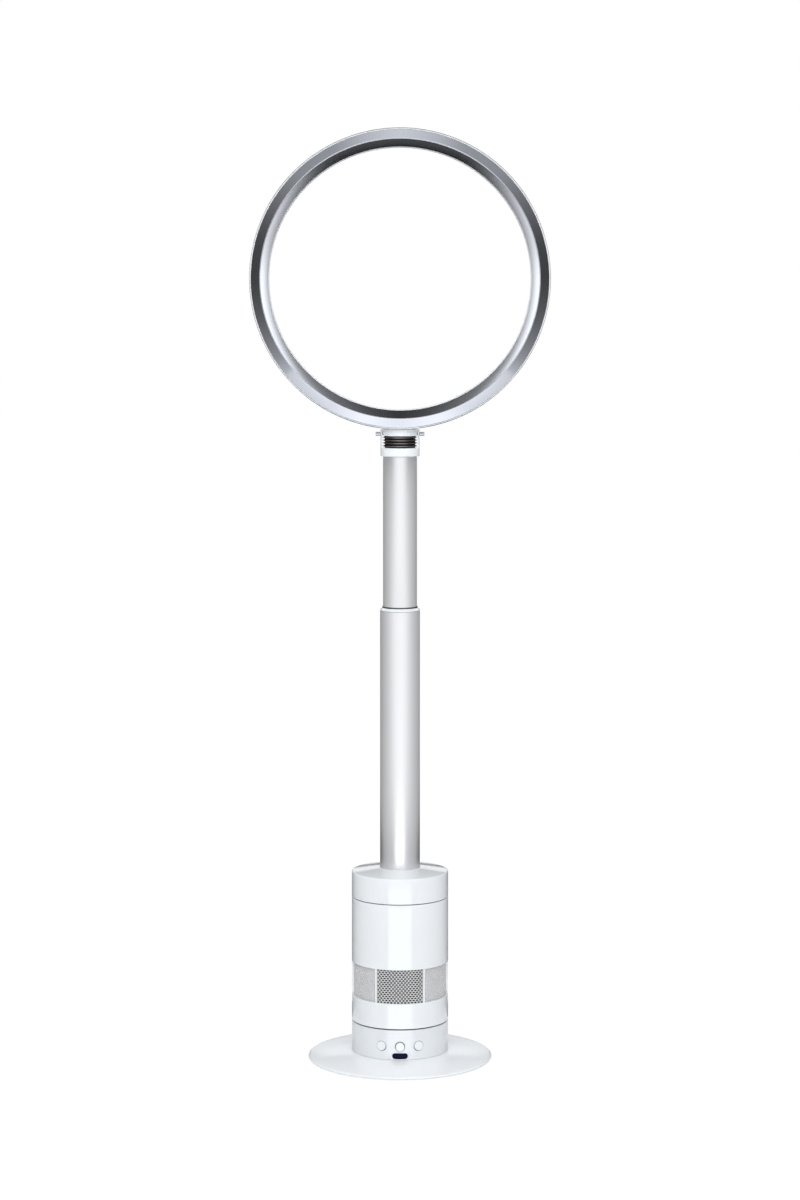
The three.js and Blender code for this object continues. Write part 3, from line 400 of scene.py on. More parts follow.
def drum(shape, holes):
    # A closed wall over (along, up, inwards). Its section is a loop: up the outer face, over the top
    # edge, down the inner face and under the bottom edge. A block of cells round each hole is left
    # out of both faces, and rings of points lead from its edge round the hole's edge and through.
    radius, wall, edge = shape["radius"], shape["wall"], shape["edge"]
    rowHeights = np.array(shape["rows"], float)
    columns, count = shape["columns"], len(rowHeights)
    a = np.linspace(0, math.pi / 2, 5)[1:]
    overTop = np.column_stack((edge * (1 - np.cos(a)), rowHeights[-1] + edge * np.sin(a)))
    underneath = np.column_stack((edge * (1 - np.cos(a)), rowHeights[0] - edge * np.sin(a)))[::-1]
    outer = np.column_stack((0 * rowHeights, rowHeights))
    inner = np.column_stack((0 * rowHeights + wall, rowHeights))[::-1]
    innerTop = [[wall, rowHeights[-1] + edge]]
    innerBottom = [[wall, rowHeights[0] - edge]]
    loop = np.vstack((outer, overTop, innerTop, inner, innerBottom, underneath))
    innerStart = count + len(overTop) + 1
    lengthRound = 2 * math.pi * radius
    lines = np.arange(columns) * lengthRound / columns
    points = [onDrum(radius, lines[None, :], loop[:, 1:], loop[:, :1]).reshape(-1, 3)]
    index = np.arange(len(loop) * columns).reshape(len(loop), columns)
    kept = np.ones(index.shape, bool)
    patches = []
    total = index.size
    for hole in holes:
        middle = round(hole["turn"] / 360 * columns)
        blockColumns = (middle - hole["halfColumns"], middle + hole["halfColumns"])
        blockRows = tuple(int(np.argmin(abs(rowHeights - height))) for height in hole["between"])
        ringColumns, ringRows = edgeOfBlock(blockColumns, blockRows)
        taken = np.arange(*blockColumns) % columns
        outerCells = np.arange(*blockRows)
        innerCells = innerStart + count - 2 - outerCells
        kept[np.ix_(np.concatenate((outerCells, innerCells)), taken)] = False
        along = (ringColumns - middle) * lengthRound / columns
        core, out = fromCore(along, rowHeights[ringRows] - hole["height"], hole)
        rings = roundedRings(hole["edge"], wall)
        spread = core[None] + out[None] * (hole["radius"] + rings[:, :1])[:, None]
        start = middle * lengthRound / columns
        made = onDrum(radius, start + spread[..., 0], hole["height"] + spread[..., 1], rings[:, 1:])
        outerEdge = index[ringRows, ringColumns % columns]
        innerEdge = index[innerStart + count - 1 - ringRows, ringColumns % columns]
        newIndex = total + np.arange(made.shape[0] * made.shape[1]).reshape(made.shape[:2])
        patches.append(gridQuads(np.vstack((outerEdge, newIndex, innerEdge)), wrapRows=False))
        points.append(made.reshape(-1, 3))
        total += newIndex.size
    faces = gridQuads(index).reshape(len(loop), columns, 4)[kept]
    return np.vstack(points), np.vstack([faces] + patches)


def capRim(radius, edge, steps, sunk=0):
    # [outset, inwards] rings round the edge of a cap, a quarter circle, for plug().
    a = np.linspace(0, math.pi / 2, steps)
    return np.column_stack((1 - edge * (1 - np.sin(a)) / radius, sunk + edge * (1 - np.cos(a))))


plugLook = {
    "reach": 2.4,  # size of the square that the rings' directions come from, in widths of the cap
    "coreGrowth": 3,  # the core of a pill is reached at one part in this of the way out
}


def plug(radius, place, hole, profile, count=48):
    # A cap that fills a hole of a drum: [outset, inwards] rings round the hole's core, from the
    # middle of its face to the middle of its back. An outset is a share of the way out to the edge:
    # point = core * min(growth * outset, 1) + out * outset * radius.
    side = count // 4
    ringColumns, ringRows = edgeOfBlock((-side // 2, side // 2), (-side // 2, side // 2))
    width = hole["coreX"] + hole["radius"]
    tall = hole["coreZ"] + hole["radius"]
    reach = plugLook["reach"]
    core, out = fromCore(ringColumns * reach * width / side, ringRows * reach * tall / side, hole)
    profile = np.array(profile, float)
    outset = profile[:, :1][:, None]
    growth = np.minimum(outset * plugLook["coreGrowth"], 1)
    spread = core[None] * growth + out[None] * outset * hole["radius"]
    grid = onDrum(radius, place[0] + spread[..., 0], place[1] + spread[..., 1], profile[:, 1:])
    return solidOf(grid, wrapRows=False)


bodyShape = {"columns": 240, "edge": 0.3, "wall": 2.5, "seam": 0.55}
ringLow, ringHigh = spanOf("control_ring")
bodyRadius = ringHigh[0]
dialLow, dialHigh = spanOf("speed_dial")
controlHeight = (dialLow[2] + dialHigh[2]) / 2
windowLow, windowHigh = spanOf("display_window")
windowHeight = (windowLow[2] + windowHigh[2]) / 2
buttonTurn = math.degrees(math.atan2(*(np.abs(np.array(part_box("power_button")).mean(0)[:2]))))

baseLook = {
    "columns": 256, "edgeHeight": 4.8, "edgeRound": 1.5, "curve": 1.5, "wall": 2.5, "chamfer": 1.2,
    "bore": 46, "rimWidth": 1,
    # Painted light: a paler copy of the white plastic, for the light on the disc's upturned top.
    "finish": {
        **finishLooks["white_plastic"], "colour": (0.925, 0.955, 0.985), "toneSpread": 0.006,
        "roughness": 0.12, "roughnessSpread": 0.03, "specular": 0.08, "coat": 0.3, "coatRoughness": 0.04,
    },
}


def makeBaseCover():
    # Top at a radius: topHeight - (topHeight - edgeHeight) * out^curve, with out from 0 at the
    # control ring to 1 at the edge. The edge is a quarter circle, and the underside runs parallel.
    low, high = spanOf("base_cover")
    radius, topHeight, wall = high[0], high[2], baseLook["wall"]
    edge = baseLook["edgeRound"]
    radii = np.linspace(bodyRadius, radius - edge, 32)
    out = (radii - bodyRadius) / (radius - bodyRadius)
    heights = topHeight - (topHeight - baseLook["edgeHeight"]) * out ** baseLook["curve"]
    a = np.linspace(0.2, math.pi / 2, 7)
    arcMiddle = baseLook["edgeHeight"] - edge
    arc = np.column_stack((radius - edge + edge * np.sin(a), arcMiddle + edge * np.cos(a)))
    top = np.column_stack((radii, heights))
    under = top[-2::-1] - (0, wall)
    chamfer = baseLook["chamfer"]
    foot = radius - chamfer
    rim = [[radius, low[2] + chamfer], [foot, low[2]], [foot - baseLook["rimWidth"], low[2]]]
    bore = baseLook["bore"]
    inside = [[bore, topHeight - wall], [bore, topHeight]]
    outline = np.vstack((top, arc, rim, under, inside))
    grid = turnedAboutZ(outline, baseLook["columns"])
    # The base cover's paler colour is painted light.
    finish = surface("base_cover_painted_light_finish", baseLook["finish"])
    addPiece("base_cover_shell", [solidOf(grid)], "base", "base_cover", finish=finish)


footLook = {"width": 10, "lowerEdge": 0.5, "upperEdge": 0.2}


def makeFoot():
    # A flat ring: a rectangle with rounded corners, turned about the axis.
    low, high = spanOf("foot_ring")
    outer, inner = high[0], high[0] - footLook["width"]
    under, over = footLook["lowerEdge"], footLook["upperEdge"]
    corners = [[inner, low[2], under], [outer, low[2], under],
               [outer, high[2], over], [inner, high[2], over]]
    addTurned("foot_ring_rubber", corners, 4, 160, "base", "foot_ring", "black_rubber")


makeBaseCover()
makeFoot()

# Painted shade: a darker copy of the white plastic, for the shade that falls on the control ring.
shadedControlLook = {**finishLooks["white_plastic"], "colour": (0.80, 0.835, 0.87), "coat": 0.5}
windowRows, buttonRows, glandRows = (14.6, 25.2), (25.2, 43.2), (17.25, 35.7)
roundHole = {"coreX": 0, "coreZ": 0}
controlHoles = {
    "button": {**roundHole, "radius": 7.65, "edge": 0.3, "halfColumns": 6, "between": buttonRows},
    "dial": {**roundHole, "radius": 7.6, "edge": 0.35, "halfColumns": 6, "between": buttonRows},
    "window": {"coreX": 7.4, "coreZ": 0, "radius": 4.5, "edge": 0.5, "halfColumns": 8,
               "between": windowRows},
    "gland": {**roundHole, "radius": 6.3, "edge": 0.4, "halfColumns": 5, "between": glandRows},
}


def makeControlRing():
    # A drum with holes for two buttons, the dial and the window in front, and the gland behind.
    edge = bodyShape["edge"]
    lower = np.linspace(*windowRows, 9)
    middle = np.linspace(*buttonRows, 13)[1:]
    upper = np.linspace(buttonRows[1], ringHigh[2] - bodyShape["seam"] - edge, 7)[1:]
    rows = np.concatenate(([ringLow[2] + edge], lower, middle, upper))
    shape = {**bodyShape, "radius": bodyRadius, "rows": rows}
    glandHeight = np.array(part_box("cord_gland")).mean(0)[2] / metresPerUnit
    holes = [
        {**controlHoles["button"], "turn": buttonTurn, "height": controlHeight},
        {**controlHoles["button"], "turn": -buttonTurn, "height": controlHeight},
        {**controlHoles["dial"], "turn": 0, "height": controlHeight},
        {**controlHoles["window"], "turn": 0, "height": windowHeight},
        {**controlHoles["gland"], "turn": 180, "height": glandHeight},
    ]
    # The control ring's darker colour is painted shade.
    finish = surface("control_ring_painted_shade_finish", shadedControlLook)
    addPiece("control_ring_shell", [drum(shape, holes)], "base", "control_ring", finish=finish)


buttonLook = {"radius": 6.9, "edge": 0.5, "depth": 3, "dish": 0.3, "stemRadius": 3, "stemLength": 8.5}


def makeButton(name, node, side):
    # The cap's face is dished: inwards = dish (1 - share^2) of the way out.
    share = np.linspace(0, 1, 9)[:-1]
    radius, edge, depth, dish = (buttonLook[key] for key in ("radius", "edge", "depth", "dish"))
    face = np.column_stack((share * (radius - edge) / radius, dish * (1 - share ** 2)))
    stem, stemEnd = buttonLook["stemRadius"] / radius, depth + buttonLook["stemLength"]
    back = [[1, depth], [stem, depth], [stem, stemEnd], [0, stemEnd]]
    profile = np.vstack((face, capRim(radius, edge, 5), back))
    place = (side * math.radians(buttonTurn) * bodyRadius, controlHeight)
    solid = plug(bodyRadius, place, {**roundHole, "radius": radius}, profile)
    addPiece(name, [solid], node, node)


dialLook = {
    "play": 0.2, "dish": 0.25, "dishEdge": 0.1, "flat": 2.2, "bevel": 0.9, "backDepth": -70.6,
    "stemRadius": 2.5,
}


def makeDial():
    # A dished and bevelled knob with a stem: its outline turned about the line to the front.
    low, high = spanOf("speed_dial")
    radius, front, bevel = high[0] - dialLook["play"], low[1], dialLook["bevel"]
    stem, back = dialLook["stemRadius"], dialLook["backDepth"]
    dish = [[0, front + dialLook["dish"], 0], [radius - dialLook["flat"], front + dialLook["dishEdge"], 2]]
    bevelled = [[radius - bevel, front, 0.6], [radius, front + bevel, 0.7], [radius, back, 0.4]]
    corners = dish + bevelled + [[stem, back, 0], [stem, high[1], 0], [0, high[1], 0]]
    grid = turnedAboutY(softened(corners, 5), 96, controlHeight)
    addPiece("speed_dial_knob", [solidOf(grid, wrapRows=False)], "speed_dial", "speed_dial")


glassLook = {"edge": 0.3, "sunk": 0.15, "backDepth": 2.1}


def makeWindow():
    # A pill-shaped pane that fills its hole, sunk a little below the drum's face.
    edge, sunk, back = glassLook["edge"], glassLook["sunk"], glassLook["backDepth"]
    radius = (windowHigh[2] - windowLow[2]) / 2
    hole = {"coreX": windowHigh[0] - radius, "coreZ": 0, "radius": radius}
    face = [[share, sunk] for share in (0, 0.17, 0.34, 0.6, 0.8)]
    rim = capRim(radius, edge, 4, sunk)
    profile = np.vstack((face, rim, [[1, back], [0.5, back], [0.34, back], [0, back]]))
    solid = plug(bodyRadius, (0, windowHeight), hole, profile, 64)
    addPiece("display_window_glass", [solid], "base", "display_window", "smoked_window")


glandLook = {
    "radius": 6, "taper": 1.6, "groove": 0.35, "grooves": 3, "smoothFrom": 0.95, "tipRadius": 4.0,
    "mouthRadius": 2.8, "boreRadius": 2.6, "boreDepth": 1.5,
}


def makeGland():
    # A tapered rubber sleeve at the back, with grooves round it. Radius at a share of the way out:
    # radius - taper * way - groove (1 - cos(2 pi grooves way)) / 2.
    low, high = spanOf("cord_gland")
    rootY, tipY, wallY = low[1], high[1], bodyRadius
    radius, boreEnd = glandLook["radius"], tipY - glandLook["boreDepth"]
    way = np.linspace(0, 1, 33)
    taper = radius - glandLook["taper"] * way
    wave = 0.5 - 0.5 * np.cos(way * glandLook["grooves"] * 2 * math.pi)
    groove = glandLook["groove"] * wave * (way < glandLook["smoothFrom"])
    outside = np.column_stack((taper - groove, wallY + (tipY - wallY) * way))
    tip = [[glandLook["tipRadius"], tipY], [glandLook["mouthRadius"], tipY],
           [glandLook["boreRadius"], boreEnd], [0, boreEnd]]
    outline = np.vstack(([[0, rootY], [radius, rootY]], outside, tip))
    grid = turnedAboutY(outline, 64, (low[2] + high[2]) / 2)
    addPiece("cord_gland_sleeve", [solidOf(grid, wrapRows=False)], "base", "cord_gland", "black_rubber")


makeControlRing()
makeButton("power_button_cap", "power_button", -1)
makeButton("oscillation_button_cap", "oscillation_button", 1)
makeDial()
makeWindow()
makeGland()
print("base and controls made")

windowLook = {"count": 6, "bar": 3, "corner": 1.2, "edge": 0.4, "margin": 2.2, "overlap": 3}


def makeCasing():
    # A drum with a band of windows in front of the screen, which they overlap above and below.
    low, high = spanOf("main_casing")
    screenLow, screenHigh = spanOf("intake_screen")
    windowBottom, windowTop = screenLow[2] + windowLook["overlap"], screenHigh[2] - windowLook["overlap"]
    edge, margin = bodyShape["edge"], windowLook["margin"]
    parts = (
        np.linspace(low[2] + bodyShape["seam"] + edge, windowBottom - margin, 9),
        np.linspace(windowBottom - margin, windowTop + margin, 25)[1:],
        np.linspace(windowTop + margin, high[2] - edge, 17)[1:],
    )
    shape = {**bodyShape, "radius": high[0], "rows": np.concatenate(parts)}
    share = 360 / windowLook["count"]
    halfWidth = math.radians(share) * high[0] / 2 - windowLook["bar"] / 2
    corner = windowLook["corner"]
    hole = {
        "coreX": halfWidth - corner, "coreZ": (windowTop - windowBottom) / 2 - corner, "radius": corner,
        "edge": windowLook["edge"], "halfColumns": bodyShape["columns"] // windowLook["count"] // 2,
        "between": (windowBottom - margin, windowTop + margin), "height": (windowBottom + windowTop) / 2,
    }
    holes = [{**hole, "turn": share * number} for number in range(windowLook["count"])]
    addPiece("main_casing_shell", [drum(shape, holes)], "fan_body", "main_casing")


screenLook = {
    "columns": 84, "rows": 19, "holeWide": 0.86, "holeTall": 0.96, "thickness": 0.8,
    "finish": {
        "colour": (0.74, 0.745, 0.75), "toneSpread": 0.03, "cloudScale": 90, "grainScale": 1300,
        "roughness": 0.55, "roughnessSpread": 0.08, "relief": 0.04, "reliefStrength": 0.4, "specular": 0.3,
    },
}


def screenCells(radius, inwards, low, high):
    # One face of the perforated sleeve. Rows of cells are staggered by half a cell, so the corners
    # of one row lie at the middle of the next row's sides, and each cell has eight points round it
    # and eight round its oval hole: along + wide cos(turn), up + tall sin(turn).
    columns, rows = screenLook["columns"], screenLook["rows"]
    pitch = 2 * math.pi * radius / columns
    tall = (high - low) / rows
    column, row = np.meshgrid(np.arange(columns), np.arange(rows))
    middleX = ((column + 0.5 * (row % 2)) * pitch)[..., None]
    middleZ = (low + (row + 0.5) * tall)[..., None]
    turn = np.arange(8) * math.pi / 4 + math.pi / 4
    squareX = np.array([1, 0, -1, -1, -1, 0, 1, 1]) * pitch / 2
    squareZ = np.array([1, 1, 1, 0, -1, -1, -1, 0]) * tall / 2
    holeX = screenLook["holeWide"] * pitch / 2 * np.cos(turn)
    holeZ = screenLook["holeTall"] * tall / 2 * np.sin(turn)
    around = onDrum(radius, middleX + squareX, middleZ + squareZ, inwards)
    inside = onDrum(radius, middleX + holeX, middleZ + holeZ, inwards)
    return around, inside


def makeScreen():
    # Each cell has four rings of eight points: round it and round its hole on the front, then round
    # the hole and round it on the back. The lowest and highest cells are closed by a rim.
    low, high = spanOf("intake_screen")
    frontAround, frontHole = screenCells(high[0], 0, low[2], high[2])
    backAround, backHole = screenCells(high[0], screenLook["thickness"], low[2], high[2])
    cells = np.stack((frontAround, frontHole, backHole, backAround), 2)
    index = np.arange(cells[..., 0].size).reshape(cells.shape[:-1])
    wrapped = np.concatenate((index, index[..., :1]), 3)
    near, far = wrapped[:, :, :-1], wrapped[:, :, 1:]
    walls = np.stack((near[..., :-1], near[..., 1:], far[..., 1:], far[..., :-1]), -1).reshape(-1, 4)
    rims = []
    for row, side in ((0, 4), (0, 5), (-1, 0), (-1, 1)):
        front, back = index[row, :, 0], index[row, :, 3]
        rims.append(np.stack((front[:, side + 1], front[:, side], back[:, side], back[:, side + 1]), -1))
    solid = (cells.reshape(-1, 3), np.vstack([walls] + rims))
    finish = surface("intake_screen_finish", screenLook["finish"])
    addPiece("intake_screen_mesh", [solid], "fan_body", "intake_screen", finish=finish)


# Sheets behind the screen: dark painted shade in front, pale painted light round the sides.
lightAndShadeSheetLook = {
    "gap": 1.2, "thickness": 0.6,
    "sheetSurface": {"cloudScale": 260, "grainScale": 1500, "roughness": 0.8, "relief": 0.1,
             "reliefStrength": 0.6},
    "dark": {"colour": (0.05, 0.05, 0.05), "toneSpread": 0.2},
    "pale": {"colour": (0.80, 0.82, 0.84), "toneSpread": 0.08},
    "frontTurn": 29.6, "roundTurn": 30.4,
}


def makeLightAndShadeSheet(name, tone, fromTurn, toTurn, columns):
    # A thin curved sheet behind the screen, between two turns from the front: a rectangle
    # carried round the axis. Its colour is painted shade (dark, in front) or painted light (pale, round the
    # sides).
    low, high = spanOf("intake_screen")
    face = high[0] - screenLook["thickness"] - lightAndShadeSheetLook["gap"]
    thickness = lightAndShadeSheetLook["thickness"]
    turns = np.radians(np.linspace(fromTurn, toTurn, columns))[:, None]
    section = np.array([[0, low[2]], [0, high[2]], [thickness, high[2]], [thickness, low[2]]])
    grid = onDrum(face, turns * face, section[None, :, 1], section[None, :, 0])
    points, quads = solidOf(grid, wrapRows=False)
    last = (columns - 1) * 4
    caps = np.array([[0, 1, 2, 3], [last + 3, last + 2, last + 1, last]])
    finish = surface(name + "_finish", {**lightAndShadeSheetLook["sheetSurface"], **lightAndShadeSheetLook[tone]})
    addPiece(name, [(points, np.vstack((quads, caps)))], "fan_body", None, "grey_plastic", finish)


topLook = {"bore": 30.5, "rise": 6, "shoulderEdge": 1.6}


def makeTopCover():
    # A low cone from the shoulder up to the pole, over a short upright wall, turned about the axis.
    low, high = spanOf("top_cover")
    radius, bore, shoulder = high[0], topLook["bore"], high[2] - topLook["rise"]
    wall = bodyShape["wall"]
    bottom = low[2] + bodyShape["seam"]
    corners = [[radius, bottom, bodyShape["edge"]], [radius, shoulder, topLook["shoulderEdge"]],
               [bore, high[2], 0.3], [bore, high[2] - wall, 0], [radius - wall, shoulder - wall, 0],
               [radius - wall, bottom, 0.2]]
    addTurned("top_cover_shell", corners, 6, bodyShape["columns"], "fan_body", "top_cover")


makeCasing()
makeScreen()
# Painted shade in front of the screen and painted light round its sides.
makeLightAndShadeSheet("screen_lining_front", "dark", -lightAndShadeSheetLook["frontTurn"], lightAndShadeSheetLook["frontTurn"], 49)
makeLightAndShadeSheet("screen_lining_round", "pale", lightAndShadeSheetLook["roundTurn"], 360 - lightAndShadeSheetLook["roundTurn"], 241)
makeTopCover()
print("fan body made")

poleLook = {"columns": 128, "wall": 1.5, "edge": 0.4, "topEdge": 1.1, "clearance": 0.3}


def makePole(name, node, body):
    # A tube with a rounded top edge.
    low, high = spanOf(node)
    outer, inner, edge = high[0], high[0] - poleLook["wall"], poleLook["edge"]
    corners = [[inner, low[2], edge], [outer, low[2], edge], [outer, high[2], poleLook["topEdge"]],
               [inner, high[2], edge]]
    addTurned(name, corners, 6, poleLook["columns"], body, node, "pole_silver")


bushLook = {"inset": 1.8, "seam": 0.3, "brim": 1.2, "lip": 0.8}


def makeBush():
    # A sleeve inside the lower pole with a brim over its end, which slopes up to the upper pole.
    low, high = spanOf("pole_bush")
    poleHigh = spanOf("lower_pole")[1]
    bore = spanOf("upper_pole")[1][0] + poleLook["clearance"]
    sleeve, seam = poleHigh[0] - bushLook["inset"], poleHigh[2] + bushLook["seam"]
    corners = [[bore, low[2], 0.2], [sleeve, low[2], 0.2], [sleeve, seam, 0], [poleHigh[0], seam, 0.2],
               [poleHigh[0], poleHigh[2] + bushLook["brim"], 0.4], [bore + bushLook["lip"], high[2], 0.4],
               [bore, high[2], 0.1]]
    addTurned("pole_bush_rim", corners, 5, poleLook["columns"], "fan_body", "pole_bush")


wiperLook = {"width": 1, "topWidth": 0.5}


def makeWiper():
    # A lip round the upper pole, narrower at its top.
    low, high = spanOf("wiper_ring")
    bore = spanOf("upper_pole")[1][0] + poleLook["clearance"]
    corners = [[bore, low[2], 0.1], [bore + wiperLook["width"], low[2], 0.2],
               [bore + wiperLook["topWidth"], high[2], 0.2], [bore, high[2], 0.1]]
    addTurned("wiper_ring_lip", corners, 4, poleLook["columns"], "fan_body", "wiper_ring", "black_rubber")


makePole("lower_pole_tube", "lower_pole", "fan_body")
makePole("upper_pole_tube", "upper_pole", "sliding_pole")
makeBush()
makeWiper()

hoopLook = {
    "radius": 227, "halfDepth": 48, "columns": 320, "wall": 2, "noseLength": 24, "bow": 2.5,
    "widestDepth": -2, "lipBreadth": 29.4, "lipTurn": 168, "trimWidth": 13.9, "trimSlope": 8,
    "trimEdge": 0.5, "trimThickness": 1.8, "trimLip": 1.4, "trimLipDepth": 2.9, "faceFront": 208.5,
    "faceBend": (1.6, 20.0), "faceBack": (202.3, 28.99), "faceEnd": 203.6,
}
hoopRadius = hoopLook["radius"]
hoopFront = spanOf("loop_outer_shell")[0][1]
trimLow, trimHigh = spanOf("front_trim")
innerLow, innerHigh = spanOf("loop_inner_shell")
hoopHeight = (trimLow[2] + trimHigh[2]) / 2


def skinRadius(depth):
    # Outer radius of the hoop at a depth: hoopRadius - bow ((depth - widest) / (front - widest))^2.
    widest = hoopLook["widestDepth"]
    return hoopRadius - hoopLook["bow"] * ((depth - widest) / (hoopFront - widest)) ** 2


jointLook = {
    "columns": 128, "earHalfWidth": 7.2, "earInner": 27, "pinHole": 2.3, "edge": 0.5, "collarWall": 4.6,
    "seam": 0.8, "seamDepth": 1.2, "earWall": 2.2, "earRoot": 4, "seat": 0.3, "spigotInset": 1.8,
    "spigotWall": 2.9,
}
pivotHeight = np.array(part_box("pivot_pin_left")).mean(0)[2] / metresPerUnit


def makeEar(side):
    # A plate round the pivot's hole. At a turn a about the pivot its outline is a half circle above
    # and a rectangle below, reach(a) = min(half / |sin a|, drop / |cos a|). Its section is a loop
    # from the hole out over the curved outer face and back over the flat inner face.
    yokeHigh = spanOf("yoke")[1]
    outerRadius = yokeHigh[0]
    half, inner, hole, edge = (jointLook[key] for key in ("earHalfWidth", "earInner", "pinHole", "edge"))
    wall = jointLook["earWall"]
    collarTop = spanOf("bellows")[0][2] - jointLook["seat"]
    drop = pivotHeight - collarTop + jointLook["earRoot"]
    a = np.linspace(0, 2 * math.pi, 96, endpoint=False)[None, :]
    below = np.minimum(half / np.maximum(abs(np.sin(a)), 1e-6), drop / np.maximum(abs(np.cos(a)), 1e-6))
    reach = np.where(np.cos(a) >= 0, half, below)
    b = np.linspace(0, math.pi / 2, 5)
    inset = np.concatenate((edge * (1 - np.sin(b)), [0.0], (edge * (1 - np.sin(b)))[::-1]))
    share = np.concatenate((edge * (1 - np.cos(b)), [wall / 2], wall - (edge * (1 - np.cos(b)))[::-1]))
    holeEdge, between = hole + 0 * reach, (hole + reach) / 2
    distance = np.vstack((holeEdge, between, reach - inset[:, None], between, holeEdge))
    inwards = np.concatenate(([0, 0], share, [wall, wall]))[:, None]
    y = distance * np.sin(a)
    z = pivotHeight + distance * np.cos(a)
    face = np.sqrt(outerRadius ** 2 - y ** 2)
    x = face + (inner - face) * inwards / wall
    return solidOf(np.stack((side * x, y, z), -1))


def makeYoke():
    # A collar with a spigot down into the pole, turned about the axis, and an ear on each side.
    low, high = spanOf("yoke")
    poleHigh = spanOf("upper_pole")[1]
    top = spanOf("bellows")[0][2] - jointLook["seat"]
    bottom = poleHigh[2] + jointLook["seat"]
    spigot = poleHigh[0] - jointLook["spigotInset"]
    bore = spigot - jointLook["spigotWall"]
    corners = [[bore, low[2], 0.2], [spigot, low[2], 0.4], [spigot, bottom, 0], [high[0], bottom, 1.0],
               [high[0], top, 1.2], [bore, top, 0.3]]
    ring = solidOf(turnedAboutZ(softened(corners, 6), jointLook["columns"]))
    addPiece("yoke_fork", [ring, makeEar(1), makeEar(-1)], "sliding_pole", "yoke")


pinLook = {"radius": 2, "headRadius": 3, "headLength": 7}


def makePin(name, node, side):
    # A stem and a wider head, turned about the pivot's line.
    low, high = spanOf(node)
    near, far = (low[0], high[0]) if side > 0 else (high[0], low[0])
    seat = far - side * pinLook["headLength"]
    stem, head = pinLook["radius"], pinLook["headRadius"]
    corners = [[0, near, 0], [stem, near, 0.3], [stem, seat, 0],
               [head, seat, 0.3], [head, far, 0.7], [0, far, 0]]
    grid = turnedAboutX(softened(corners, 5), 48, pivotHeight)
    addPiece(name, [solidOf(grid, wrapRows=False)], "sliding_pole", node, finish=finishes["steel"])


bellowsLook = {
    "ribs": 4, "groove": 3.7, "wall": 1.5,
    "finish": {
        "colour": (0.009, 0.008, 0.008), "toneSpread": 0.12, "cloudScale": 90, "grainScale": 1600,
        "roughness": 0.34, "relief": 0.03, "reliefStrength": 0.4,
        # The crest colour is a painted highlight on the ribs, strongest near the front and back.
        "paintedHighlight": (0.0240, 0.0261), "highlightColour": (0.56, 0.50, 0.50), "highlightFade": (0.001, 0.016),
        "highlightLoss": 0.78,
    },
}


def makeBellows():
    # Radius at a share of the height: radius - groove |cos(pi ribs share)|. The inner face follows
    # the outer one.
    low, high = spanOf("bellows")
    share = np.linspace(0, 1, 97)
    outer = high[0] - bellowsLook["groove"] * abs(np.cos(math.pi * bellowsLook["ribs"] * share))
    heights = low[2] + (high[2] - low[2]) * share
    outside = np.column_stack((outer, heights))
    inside = np.column_stack((outer - bellowsLook["wall"], heights))[::-1]
    grid = turnedAboutZ(np.vstack((outside, inside)), jointLook["columns"])
    finish = surface("bellows_painted_highlight_finish", bellowsLook["finish"])
    piece = addPiece("bellows_sleeve", [solidOf(grid)], None, None, finish=finish)
    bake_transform(piece)
    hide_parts("bellows")


def makeNeckCollar():
    # A sleeve whose shoulder follows the hoop's skin a seam below it, where a narrower neck goes on.
    # Height of the skin over a point: hoopHeight - sqrt(skinRadius(y)^2 - x^2).
    low, high = spanOf("neck_collar")
    radius, wall = high[0], jointLook["collarWall"]
    shoulder = hoopHeight - hoopRadius - jointLook["seam"]
    neck = radius - jointLook["seamDepth"]
    corners = [[radius - wall, low[2], 0.4], [radius, low[2], 0.8], [radius, shoulder, 0.3],
               [neck, shoulder, 0.2], [neck, high[2], 0.3], [radius - wall, high[2], 0.3]]
    outline = softened(corners)
    grid = turnedAboutZ(outline, jointLook["columns"])
    x, y = grid[..., 0], grid[..., 1]
    lift = hoopRadius - np.sqrt(skinRadius(y) ** 2 - x ** 2)
    atShoulder = abs(outline[:, 1:] - shoulder) < 0.5
    grid[..., 2] += lift * atShoulder
    addPiece("neck_collar_sleeve", [solidOf(grid)], "hoop", "neck_collar")


makeYoke()
makePin("pivot_pin_left_head", "pivot_pin_left", -1)
makePin("pivot_pin_right_head", "pivot_pin_right", 1)
makeBellows()
makeNeckCollar()
print("poles and joint made")


def offsetLine(points, distance):
    # The same open line moved sideways, to its left.
    along = np.gradient(points, axis=0)
    along /= np.linalg.norm(along, axis=1)[:, None]
    return points + np.column_stack((-along[:, 1], along[:, 0])) * distance


def addHoopRing(name, outline, node, slot="white_plastic"):
    # A closed outline of [radius, depth] points turned about the hoop's own axis.
    grid = turnedAboutY(outline, hoopLook["columns"], hoopHeight)
    addPiece(name, [solidOf(grid)], "hoop", node, slot)


def makeOuterShell():
    # The bowed outside, then half an ellipse round the rear, which ends short of a half turn in the
    # lip over the slot.
    noseStart = hoopLook["halfDepth"] - hoopLook["noseLength"]
    depth = np.linspace(hoopFront, noseStart, 25)
    bow = skinRadius(depth)
    lip = hoopRadius - hoopLook["lipBreadth"]
    middle, across = (bow[-1] + lip) / 2, (bow[-1] - lip) / 2
    a = np.radians(np.linspace(0, hoopLook["lipTurn"], 41))[1:]
    nose = np.column_stack((middle + across * np.cos(a), noseStart + hoopLook["noseLength"] * np.sin(a)))
    outside = np.vstack((np.column_stack((bow, depth)), nose))
    inside = offsetLine(outside, hoopLook["wall"])[::-1]
    addHoopRing("loop_outer_skin", np.vstack((outside, inside)), "loop_outer_shell")


